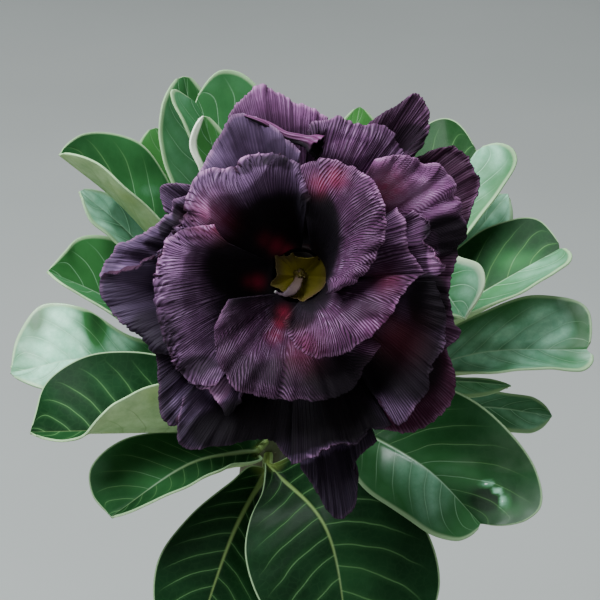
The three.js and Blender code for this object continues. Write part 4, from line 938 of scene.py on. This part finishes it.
shades = [  # spots of painted shade: x, y, half width, half height and strength, and painted light where it's below 0
    (-3.3, 10.9, 11.5, 8, 1), (3, 8.5, 6.5, 10, 1), (-13.4, 2.1, 8.4, 7, 1), (12, -22.5, 11, 5.5, 0.85),
    (-9, -32.5, 11, 6, 1), (8, -32.5, 10, 5.4, 1), (-19, -34.5, 6, 4.5, 0.9), (0.5, -41.2, 3, 1.5, -4),
    (4.4, -39.8, 3, 1.5, -4), (8.6, -38.3, 3, 1.5, -4), (-18.5, -24.5, 3.4, 4, -2), (-17, 33, 6, 6, 0.35),
    (-15, 39.5, 5, 4, 0.3), (29.9, 5.2, 1.7, 5.5, -2.6), (-19, 33, 4, 5, 0.25), (11.5, 29.5, 5, 3.5, -0.5),
    (-18.5, 15.5, 3, 3.4, -0.7), (11.8, 14, 4, 5, 0.25), (-12.8, 23.2, 2.6, 1.5, 0.6), (-9.4, 24.8, 3.2, 1.4, 0.6),
    (-5.4, 24.9, 3.2, 1.4, 0.6), (-2, 24.2, 2.6, 1.4, 0.5), (24, -20, 9, 9, 0.8), (33, 9, 6, 5, 0.95),
    (29, -6, 5, 7, 0.9), (5.4, 8.5, 3.2, 10, 0.9), (-1.5, -8.6, 5.5, 4, 0.85), (-26.9, 13.8, 2.2, 2.6, 0.85),
    (-29.5, 10.3, 2.6, 2.4, 0.8), (-32.6, 7.2, 2.8, 1.8, 0.65), (-36.3, 4.6, 2.4, 1.4, 0.45),
    (-36.5, 0.5, 5.5, 4, -0.9), (25, 31, 4, 3.5, 0.7), (1, 31, 5, 3, 0.4), (8, -25, 9, 4, 0.6), (-14.5, -8, 4, 5, 0.2),
    (-20.5, -11, 6, 3.5, -0.5), (22.5, 18.5, 8, 4.6, -0.9), (20.5, 18.8, 4, 3, -0.8), (30, 17, 6, 5, -0.4),
    (-24.5, -27.5, 5, 6, -2), (10, 27.5, 5, 3, -0.8), (-9, -14, 5, 5, -0.3), (21, -29, 5, 4, -1.5),
    (3, -5.5, 4, 3, 0.7), (-33, -13.3, 6, 6, 0.65), (-22.5, -21.5, 5.5, 4, 0.75), (-17.6, -25.4, 3, 3, -1.2),
    (-2.2, -21.5, 9, 3.4, 0.5), (-15, 27, 5, 4, -0.25), (-4.4, 27.4, 4, 3, 0.4), (-28, 22, 5, 6, 0.35),
    (-7, 33, 8, 4, 0.2), (17, -13.5, 5.5, 4.5, -1.1), (17.6, 23, 5, 3, -0.9), (-19.5, 12.5, 3.6, 4.4, -0.45),
    (-27.5, 4.5, 4, 5, -0.6), (13.2, -7.5, 4.5, 3, 0.35), (22.5, -7.8, 3, 3, -1), (-13.2, -21, 4, 4, 0.3),
    (-26, -8, 3.5, 8, 0.35), (-23, 0, 4, 7, -0.2),
]


def petalGrid(petal, seed):  # rows run from the root to the margin and columns along it
    whorl = whorls[petal["whorl"]]
    margin = Line(petal["edge"])
    folds = max(6, round(margin.length / petalShape["pitch"]))
    u = np.linspace(0, 1, folds * 3 + 1)
    across = u * margin.length
    t = margin.timeOf(u)
    first, last = (unit(np.array(p[:2], float)) for p in (petal["edge"][0], petal["edge"][-1]))
    heading = math.atan2(*(first + last)[::-1])
    angle = heading + math.radians(whorl["hold"]) * (1 - 2 * t)
    root = np.stack([np.cos(angle), np.sin(angle), 0 * t], axis=1) * petalShape["rootRadius"]
    root[:, 2] = whorl["depth"]
    end = margin.at(t)
    reach = (end - root) * (1, 1, 0)
    lift = root + reach * whorl["run"] + (0, 0, whorl["climb"])
    lean = end - reach * whorl["back"] + (0, 0, whorl["crest"])
    beat = u * folds + 1.5 * wander(across * 0.22, seed)
    jag = 0.3 * np.cos(math.pi * beat) + 1.3 * wander(across * 0.5, seed + 3) + 0.9 * wander(across * 2.1, seed + 4)
    calm = smooth(0, 0.1, np.minimum(u, 1 - u))  # the margin's ends lie still
    end = end + unit(reach) * (petalShape["teeth"] * jag * (0.3 + 0.7 * calm))[:, None]
    s = 1 - (1 - np.linspace(0, 1, petalShape["rows"])) ** 1.45
    s = s[:, None]
    grid = curve(root, lift, lean, end, s[..., None])
    beat = beat - petal.get("sweep", 0.02) * folds * s**2.2
    return grid, s, u, across, beat + 0.5 * ripples(s * 9, across * 0.35, seed + 8)


def runOf(grid):  # how far along its rib each point is
    steps = np.linalg.norm(np.diff(grid, axis=0), axis=2)
    return np.concatenate([np.zeros((1, grid.shape[1])), np.cumsum(steps, axis=0)])


def rollRim(grid, u, start, stop, width, radius, way):  # turns a stretch of the rim round a rod of that radius
    run = runOf(grid)
    normal = normalsOf(grid)
    window = smooth(start - 0.1, start + 0.1, u) * smooth(stop + 0.1, stop - 0.1, u)
    for j in np.nonzero(window * width > 0.2)[0]:
        line = run[-1, j] - width * window[j]
        beyond = run[:, j] > line
        foot = np.array([np.interp(line, run[:, j], grid[:, j, k]) for k in range(3)])
        up = np.array([np.interp(line, run[:, j], normal[:, j, k]) for k in range(3)]) * way
        ahead = unit(grid[-1, j] - foot)
        up = unit(up - ahead * (up @ ahead))
        turn = ((run[:, j] - line) / radius)[beyond, None]
        grid[beyond, j] = foot + ahead * radius * np.sin(turn) + up * radius * (1 - np.cos(turn))


def makePetal(name, petal, seed):
    grid, s, u, across, beat = petalGrid(petal, seed)  # s is a column and the rest are rows
    for roll in petal.get("rolls", []):
        rollRim(grid, u, *roll)
    run = runOf(grid)
    side = np.minimum(u, 1 - u)
    pitch = np.linalg.norm(np.gradient(grid, axis=1), axis=2) * 6  # the width of two folds here
    fork = smooth(0.25, 0.6, s + 0.22 * wander(across * 0.7, seed + 12))
    pleat = -np.cos(math.pi * beat) * (1 - 0.4 * fork) * np.minimum(petalShape["pleat"], pitch * 0.09)
    pleat *= smooth(0.1, 0.4, s) * (0.5 + 0.5 * ripples(s * 5, across * 0.8, seed + 9))
    near = smooth(0.6, 1, s)
    ruffle = wander(across * 0.38, seed + 5) * near**1.5 + 0.35 * wander(across * 1.3, seed + 7) * near**4
    ruffle *= petalShape["ruffle"] * smooth(0, 0.12, side)
    swag = petalShape["swag"] * wander(across * 0.16 + 3, seed + 6) * smooth(0.3, 0.9, s)
    swag = swag + petalShape["ripple"] * ripples(s * 14, across * 0.7, seed + 10) * smooth(0.35, 0.8, s)
    grid = grid + normalsOf(grid) * (pleat + ruffle + swag)[..., None]
    sideOff = side * np.linalg.norm(np.diff(grid, axis=1), axis=2).sum(axis=1)[:, None]
    thick = petalShape["thick"] * rimmedGrid(np.minimum(run[-1] - run, sideOff), petalShape["rim"])
    glow = np.zeros(grid.shape[:2])
    for x, y, reach, strength, *only in glows:
        if only and name not in only:
            continue
        glow = np.maximum(glow, strength * np.exp(-((grid[..., 0] - x) ** 2 + (grid[..., 1] - y) ** 2) / reach**2))
    shade = np.ones(grid.shape[:2])
    for x, y, wide, tall, strength in shades:
        far = ((grid[..., 0] - x) / wide) ** 2 + ((grid[..., 1] - y) / tall) ** 2
        shade *= 1 - strength * smooth(1.25, 0.55, far)
    inward = smooth(0, 0.07, side + 0.05 * smooth(0.88, 1, s))  # 0 along a petal's sides, which get painted shade
    dusk, warm, light, hollow, groove = petal["look"]
    # painted light: the petal's own light, the spots of painted shade and light, and painted shade along its sides and
    # in its hollow
    lit = light * shade * (0.3 + 0.7 * inward)
    lit *= smooth(hollow - 0.25, hollow + 0.2, s + 0.07 * wander(u * 7, seed + 15))
    return thinPiece(name, grid, thick, thick, {
        "beat": beat + 40, "fork": fork, "margin": run[-1] - run + 3 * (1 - inward), "flush": glow,
        "dusk": dusk, "warm": warm, "light": petalShape["brightness"] * lit ** petalShape["contrast"], "reach": s,
        "groove": groove,
    })


def makeVelvet():
    look = Finish("petalVelvet", Specular_IOR_Level=0.06, Sheen_Weight=0.02, Sheen_Roughness=0.4,
                  Sheen_Tint=(0.62, 0.5, 0.8, 1))
    beat, fork, margin, flush, dusk = map(look.attribute, ("beat", "fork", "margin", "flush", "dusk"))
    warm, light, reach, under, groove = map(look.attribute, ("warm", "light", "reach", "under", "groove"))
    cloud = look.noise(90, 4, 0.6)
    blotch = look.noise(330)
    nap = look.noise(2600, 3, 0.7)
    place = abs(look.maths("FLOORED_MODULO", beat + blotch * 0.6, 2.0) - 1.0)
    off = abs(place - fork * 0.5)  # 0 in a furrow, which forks in two on the way out
    furrow = look.step(0.25, 0.08, off) * look.step(0.05, 0.3, reach) * look.step(0.3, 0.55, cloud, 0.6, 1.0) * groove
    purple = look.mix((0.158, 0.033, 0.142), (0.148, 0.112, 0.218), dusk)
    purple = look.mix(purple, (0.170, 0.016, 0.050), warm * 0.6)
    # painted light and shade: dark where the painted light is low, and painted shade in the furrows
    share = light * (1 - furrow * 0.97) * (cloud * 0.8 + 0.40)
    colour = look.mix((0.0056, 0.0042, 0.0058), purple, share)
    # a painted highlight where the painted light runs above 1
    paintedHighlight = look.step(1.0, 2.4, light) * (1 - furrow * 0.7) * (1 - warm * 0.5)
    colour = look.mix(colour, (0.27, 0.12, 0.25), paintedHighlight)
    colour = look.mix(colour, (0.27, 0.012, 0.040), flush * (1 - furrow * 0.35) * 0.9)
    # painted highlights along the ridges between the furrows
    crest = look.step(0.34, 0.5, off) * groove * look.step(0.38, 0.62, look.noise(320, 2)) * look.step(0.2, 0.5, reach)
    colour = look.mix(colour, (0.34, 0.22, 0.36), crest * light * 0.85)
    # a painted highlight along the margin
    rim = look.step(1.4, 0.1, margin) * light * (1 - furrow * 0.8) * look.step(0.35, 0.55, cloud)
    colour = look.mix(colour, (0.36, 0.17, 0.33), rim * 0.7)
    # a painted sheen on the nap, stronger with the painted light
    colour = look.mix(colour, (0.20, 0.15, 0.23), look.step(0.68, 0.78, nap) * light * 0.3)
    # the underside, lighter with the painted light and with painted shade in the furrows
    back = look.mix((0.006, 0.003, 0.006), (0.15, 0.055, 0.12), (1 - furrow * 0.7) * cloud * light)
    colour = look.mix(colour, back, look.step(0.4, 0.6, under))
    height = nap * 0.35 - furrow * 0.8 + blotch * 0.3
    return look.skin(colour, look.follow(cloud, 0.55, 0.75), height, 0.00016, 0.8)


velvet = makeVelvet()
for number, (name, petal) in enumerate(petals.items()):
    settle(makePetal(name, petal, 100 + 11 * number), velvet, "corolla")
print("petals done:", len(petals))

curl = {  # a small rolled rim that opens at its last end: a line in the bloom's frame, and radii along it
    "line": [(-12.5, 35.6, -6.2), (-7.6, 33.6, -4.2), (-2.6, 30.6, -2.6), (1.4, 29.4, -1.6), (4.0, 28.0, 0.2)],
    "radii": [0.3, 0.75, 1.05, 1.3, 2.5],
}


def makeCurl():
    line = Line(curl["line"])
    t = np.linspace(0, 1, 80)
    sides = 72
    angle = np.linspace(0, 2 * math.pi, sides + 1)

    def radiusAt(t, angle):
        crumple = 0.22 * np.sin(3 * angle + 1 + 5 * t) + 0.12 * np.sin(8 * angle + 2 * t)
        return blend(curl["radii"], t) * (1 + crumple * (0.35 + 0.65 * t**4) + 0.10 * np.sin(23 * t + angle) * t)

    outside = ringsAlong(line, t, sides, radiusAt)
    inside = ringsAlong(line, t[:30:-1], sides, lambda t, angle: radiusAt(t, angle) * 0.8 - 0.05)
    inside[-1] = inside[-1].mean(axis=0)
    outside[0] = outside[0].mean(axis=0)
    grid = np.concatenate([outside, inside])
    # painted light on the rolled rim's upper side, painted shade below it and inside its open end
    way = unit(grid - grid.mean(axis=1, keepdims=True) + 1e-6)
    lit = smooth(-0.2, 0.7, way @ unit(np.array((0.3, 1, 0.35))))
    lit[len(outside):] = 0
    return gridPiece("petalCurl", fromCrown(grid), {
        "beat": angle * 1.6 + 40, "fork": 1, "margin": 2, "flush": 0, "dusk": 0.25, "warm": 0.5, "light": lit * 0.75,
        "reach": 1, "groove": 0.5, "under": 0,
    })


settle(makeCurl(), velvet, "corolla")


def makeTube():
    sides = 96
    t = np.linspace(1, 0, 40)
    rings = ringsAlong(tubeLine, t, sides, lambda t, angle: blend(tube["radii"], t) + 0.12 * np.cos(10 * angle))
    # the rings' own frame turns with the line, so the straight collar goes on in the same order
    way = unit(rings[-1] - tubeLine.at(0.0))
    rows = [np.repeat(tubeLine.at(1.0)[None], sides + 1, axis=0), *rings]
    for radius, z in [(7.4, -23), (7.0, -22.5), (6.6, -22.3), (6.2, -22.4), (6.05, -22.8), (6, -24), (5.95, -27),
                      (5.6, -27.5), (0, -27.6)]:
        rows.append(way * radius * (1, 1, 0) + (0, 0, z))
    return gridPiece("corollaTube", fromCrown(rows), {"reach": np.linspace(0, 1, len(rows))[:, None]})


def makeTubeSkin():
    look = Finish("petalTube", Specular_IOR_Level=0.12)
    reach = look.attribute("reach")
    cloud = look.noise(160, 4, 0.6)
    streak = look.noise(1, 3, 0.5, look.stretched((900, 900, 120)))
    # greenish at the foot and dark purple up the tube; near black at the lip, its own dark deepened as painted shade in
    # the gap round the throat
    colour = look.ramp(reach, (0.0, (0.10, 0.12, 0.035)), (0.3, (0.09, 0.04, 0.025)), (0.7, (0.03, 0.005, 0.010)),
                       (0.76, (0.004, 0.001, 0.002)), (1.0, (0.004, 0.002, 0.001)))
    colour = look.mix(colour, (0.012, 0.003, 0.006), look.step(0.45, 0.7, streak) * 0.6)
    colour = look.mix(colour, (0.09, 0.04, 0.03), look.step(0.55, 0.8, cloud) * 0.3 * (1 - reach))
    return look.skin(colour, look.follow(cloud, 0.5, 0.7), streak + cloud * 0.5, 0.0003, 0.6)


settle(makeTube(), makeTubeSkin(), "corolla")

throat = {
    "bowl": 6.4, "top": -18.9, "lip": 2.4,
    "rim": [  # the ragged mouth, x and y in the bloom's frame
        (6.5, -0.3), (5.9, 1.2), (5.8, 3.2), (5.7, 5.0), (4.6, 4.9), (3.4, 4.3), (1.8, 4.0), (0, 4.2), (-1, 4.4),
        (-1.8, 5.3), (-2.8, 4.3), (-3.8, 4.7), (-4.6, 4.4), (-5.7, 4.7), (-5.5, 2.9), (-5.6, 1.6), (-5.3, 0.2),
        (-6, -0.9), (-6.8, -2.1), (-5, -3), (-3.9, -3.8), (-2.1, -5), (-0.5, -5.5), (0.6, -6.2), (1.7, -5.4),
        (3.4, -4.4), (5.2, -3), (6.0, -1.5),
    ],
}


def makeThroat():
    sides = 224
    mouth = Line(throat["rim"] + throat["rim"][:1]).along(np.linspace(0, 1, sides + 1))  # x and y alone
    angle = np.arctan2(mouth[:, 1], mouth[:, 0])
    reach = np.linalg.norm(mouth, axis=1) * (1 + 0.02 * wander(np.linspace(0, 60, sides + 1), 3) * np.sin(
        np.linspace(0, math.pi, sides + 1)))
    way = np.stack([np.cos(angle), np.sin(angle), 0 * angle], axis=1)
    outer = tube["cupRadius"] - gap - 0.1
    top, lip = throat["top"], throat["top"] - throat["lip"]
    rings = [(0, cupFloor, 0)]  # radius, height and how far along the yellow inside
    for k in np.linspace(0, 1, 12):  # up the outside
        rings.append((outer - 0.8 * (1 - k), cupFloor + k * (lip - cupFloor), 0))
    for k in np.linspace(0.1, 1, 12):  # out along the underside of the ragged mouth
        rings.append((outer + (reach - 0.15 - outer) * k, lip + 1.9 * k**1.5, 0))
    rings += [(reach - 0.02, top - 0.3, 0.9), (reach, top - 0.12, 1), (reach - 0.1, top, 1)]
    for k in np.linspace(0.97, 0, 60):  # down the inside
        crease = 0.12 * np.cos(10 * angle + 1) * math.sin(math.pi * k) * k
        sink = throat["bowl"] * (1 - k**1.8)
        rings.append((reach * k + (1 - k) * 0.02 * (k > 0), top - sink + crease, k))

    def column(values):
        return np.broadcast_to(values, sides + 1)[:, None]

    rows = [way * column(radius) + column(z) * (0, 0, 1) for radius, z, share in rings]
    share = np.array([share for radius, z, share in rings])[:, None]
    return gridPiece("throatCup", fromCrown(rows), {"reach": share, "turn": angle})


def makeThroatSkin():
    look = Finish("throatYellow", Specular_IOR_Level=0.2)
    reach, turn = map(look.attribute, ("reach", "turn"))
    cloud = look.noise(260, 4, 0.6)
    side = look.maths("COSINE", turn + 0.5)
    bowl = look.step(0.06, 0.1, reach)
    colour = look.ramp(reach, (0.0, (0.004, 0.002, 0.001)), (0.06, (0.004, 0.002, 0.001)), (0.07, (0.10, 0.088, 0.006)),
                       (0.45, (0.115, 0.098, 0.006)), (0.75, (0.105, 0.088, 0.007)), (0.92, (0.11, 0.082, 0.020)),
                       (1.0, (0.10, 0.06, 0.032)))
    # painted light on the upper side of the yellow bowl
    paintedLitSide = look.step(-0.8, 0.7, look.maths("COSINE", turn - 2.1))
    colour = look.mix(colour, (0.30, 0.255, 0.022), paintedLitSide * bowl * 0.75)
    # painted shade near the mouth on its upper-left side, under the petals
    colour = look.mix(colour, (0.075, 0.048, 0.036), look.step(-0.2, -1.0, side) * look.step(0.5, 0.95, reach) * 0.8)
    colour = look.mix(colour, (0.040, 0.034, 0.004), look.step(0.5, 0.75, cloud) * bowl * 0.3)
    return look.skin(colour, look.follow(cloud, 0.5, 0.7), cloud + look.noise(900, 2) * 0.3, 0.00015, 0.6)


settle(makeThroat(), makeThroatSkin(), "throat")

anthers = {
    "cone": 2.1, "tip": 0.55, "foot": 1.85, "tall": 5.6, "threadRadius": 0.3,
    "longThread": [(0.0, 1.6, -24), (-0.2, 0.6, -22.6), (-0.5, -1.4, -20.2), (-1.6, -3.2, -18.7), (-3.4, -4.3, -18.0),
                   (-4.9, -4.2, -17.7), (-5.8, -3.6, -17.2)],
    "longWidths": [0.4, 0.6, 1.15, 1.3, 0.7, 0.36, 0.26],
    "threads": [  # where each short one bends and ends
        ((0.5, 0.3), (0.8, 1.0)), ((0.6, -0.2), (1.3, -0.3)), ((0.3, -0.6), (0.7, -1.3)), ((-0.4, 0.5), (-0.8, 1.1)),
    ],
}


def makeAnthers():
    angle = np.linspace(0, 2 * math.pi, 61)
    k = np.linspace(0, 1, 30)[:, None]
    radius = (anthers["cone"] + (anthers["tip"] - anthers["cone"]) * k) * (1 + 0.13 * np.cos(5 * angle)) - 0.25
    radius[0] = radius[-1] = 0
    height = cupFloor + anthers["foot"] + anthers["tall"] * k
    cone = np.stack([radius * np.cos(angle), radius * np.sin(angle), height + 0 * angle], axis=2)
    parts = [gridPiece("antherCone", fromCrown(cone), {"reach": 0.1 * k})]

    def ribbon(t, angle):  # a flat, twisted cross-section
        wide = blend(anthers["longWidths"], t)
        thin = 0.28 + 0.1 * t
        lean = angle - 0.83 + 2.2 * t
        flat = 1 / np.sqrt((np.cos(lean) / wide) ** 2 + (np.sin(lean) / thin) ** 2)
        return flat * rimmed(np.minimum(t, 1 - t), 0.02) * (1 + 0.05 * np.sin(50 * t))

    def strand(t, angle):
        radius = anthers["threadRadius"] * (1.25 - 0.75 * t) * (1 + 0.12 * np.sin(60 * t + 2 * angle))
        return radius * rimmed(np.minimum(t, 1 - t), 0.02)

    t = np.linspace(0, 1, 90)
    parts.append(rod("longThread", Line(anthers["longThread"]), t, 28, ribbon, 0.2 + 0.8 * t))
    t = np.linspace(0, 1, 40)
    for bend, end in anthers["threads"]:
        parts.append(rod("thread", Line([(0, 0, -23), (*bend, -21.6), (*end, -21)]), t, 14, strand, 0.05 + 0.15 * t))
    return joined("antherThreads", parts)


def makeThreadSkin():
    look = Finish("stamenMauve", Specular_IOR_Level=0.35)
    reach = look.attribute("reach")
    fleck = look.noise(900, 3, 0.6)
    colour = look.ramp(reach, (0.0, (0.10, 0.08, 0.012)), (0.2, (0.10, 0.075, 0.02)), (0.45, (0.14, 0.095, 0.075)),
                       (0.75, (0.095, 0.060, 0.080)), (0.95, (0.11, 0.075, 0.105)), (0.975, (0.3, 0.25, 0.28)),
                       (1.0, (0.85, 0.85, 0.82)))
    colour = look.mix(colour, (0.12, 0.05, 0.07), look.step(0.5, 0.75, fleck) * 0.4)
    return look.skin(colour, look.follow(fleck, 0.5, 0.7), fleck, 0.00015, 0.6)


settle(makeAnthers(), makeThreadSkin(), "anthers")

calyx = {"sepals": 5, "length": 10, "width": 3.4, "thickness": 0.3, "clearance": 0.8, "foot": 2.4, "stalk": 2.95}


def besideTube(share, angle, away):  # a place on a sepal: its share of the length, turn and distance off the tube
    t = 1 - share * calyx["length"] / tubeLine.length
    inside = np.minimum(t, 1)
    back = tubeLine.heading(inside)
    centre = tubeLine.at(inside) + back * (np.maximum(0, t - 1) * tubeLine.length)[..., None]
    side = unit(np.array([1.0, 0, 0]) - back * back[..., :1])
    front = np.cross(back, side)
    return centre + side * (away * np.cos(angle))[..., None] + front * (away * np.sin(angle))[..., None]


def makeCalyx():
    tip = toCrown(stemLine.at(1.0))
    heading = toCrown(stemLine.at(1.0) + stemLine.heading(1.0)) - tip
    foot, back = tubeLine.at(1.0), tubeLine.heading(1.0)
    start, stop = tip - heading * 0.8, foot - back * 0.6
    stalk = Line(curve(start, start + heading * 3, stop + back * 3, stop, np.linspace(0, 1, 40)[:, None]))

    def stalkRadius(t, angle):
        radius = calyx["stalk"] + 1.6 * t * t + 0.1 * np.cos(5 * angle) + 0.12 * np.sin(40 * t)
        return radius * rimmed(np.minimum(t, 1 - t), 0.002)

    t = np.linspace(0, 1, 50)
    parts = [rod("flowerStalk", stalk, t, 60, stalkRadius, t * 0.3)]
    for number in range(calyx["sepals"]):
        angle = 2 * math.pi * number / calyx["sepals"]
        share = np.linspace(-0.2, 1, 44)[:, None]
        x = np.linspace(-1, 1, 25)[None, :]
        half = (calyx["width"] / 2) * np.sqrt(1.02 - np.maximum(share, 0))
        t = 1 - share * calyx["length"] / tubeLine.length
        free = blend(tube["radii"], t) + calyx["clearance"] + share * share
        away = calyx["foot"] + (free - calyx["foot"]) * smooth(-0.16, -0.08, share)
        grid = besideTube(share + 0 * x, angle + x * half / away, away + 0.22 * x * x)
        slim = rimmedGrid(np.minimum((1 - share) * calyx["length"], (1 - np.abs(x)) * half), 0.4)
        thick = calyx["thickness"] * slim
        parts.append(thinPiece("sepal", grid, thick, thick, {"reach": np.clip(0.3 + 0.7 * share, 0, 1)}))
    return joined("calyxSepals", parts)


def makeSepalSkin():
    look = Finish("sepalGreen", Specular_IOR_Level=0.4)
    reach = look.attribute("reach")
    cloud = look.noise(160, 4, 0.6)
    colour = look.ramp(reach, (0.0, (0.12, 0.17, 0.06)), (0.5, (0.16, 0.20, 0.06)), (0.85, (0.17, 0.10, 0.05)),
                       (1.0, (0.14, 0.035, 0.03)))
    colour = look.mix(colour, (0.07, 0.09, 0.03), look.step(0.45, 0.75, cloud) * 0.6)
    return look.skin(colour, look.follow(cloud, 0.45, 0.65), cloud + look.noise(900) * 0.4, 0.0003, 0.6)


settle(makeCalyx(), makeSepalSkin(), "calyx")
print("bloom done")


# the floor, the light and the camera
stage = {
    "floor": 6.0, "sky": (0.86, 0.93, 0.95), "skyStrength": 0.26, "target": (0, -0.04, 0.2),
    "overhead": {"size": 1.1, "power": 62, "at": (-0.45, -0.2, 1.3), "colour": (0.92, 0.97, 1.0)},
    "front": {"size": 1.2, "power": 4, "at": (0.5, -1.2, 0.7), "colour": (1.0, 0.98, 0.95)},
}


def makeFloor():
    bpy.ops.mesh.primitive_plane_add(size=stage["floor"])
    floor = bpy.context.object
    floor.name = "floor"
    look = Finish("floorPale", Specular_IOR_Level=0.2)
    cloud = look.noise(3, 4)
    look.wear("Base Color", look.ramp(cloud, (0.3, (0.235, 0.245, 0.235)), (0.7, (0.26, 0.27, 0.26))))
    look.wear("Roughness", look.follow(cloud, 0.8, 0.9))
    floor.data.materials.append(look.material)


def addLamp(name, lamp):
    bpy.ops.object.light_add(type="AREA", location=lamp["at"])
    light = bpy.context.object
    light.name = name
    light.data.shape = "DISK"
    light.data.size = lamp["size"]
    light.data.energy = lamp["power"]
    light.data.color = lamp["colour"]
    light.rotation_mode = "QUATERNION"
    light.rotation_quaternion = (light.location - Vector(stage["target"])).to_track_quat("Z", "Y")


makeFloor()
addLamp("overheadSoftbox", stage["overhead"])
addLamp("frontSoftbox", stage["front"])
world = bpy.data.worlds.new("studio")
bpy.context.scene.world = world
world.use_nodes = True
sky = world.node_tree.nodes["Background"]
sky.inputs["Color"].default_value = (*stage["sky"], 1)
sky.inputs["Strength"].default_value = stage["skyStrength"]

view = {"rise": -5.6, "distance": 470, "lens": 128}  # in the bloom's frame, in millimetres
bpy.ops.object.camera_add()
camera = bpy.context.object
camera.location = Vector(fromCrown((0, view["rise"], view["distance"])) * mm)
camera.rotation_mode = "QUATERNION"
camera.rotation_quaternion = Vector(crownAxes[2]).to_track_quat("Z", "Y")
camera.data.lens = view["lens"]
camera.data.sensor_width = 36
camera.data.clip_start = 0.01
bpy.context.scene.camera = camera
print("stage done")
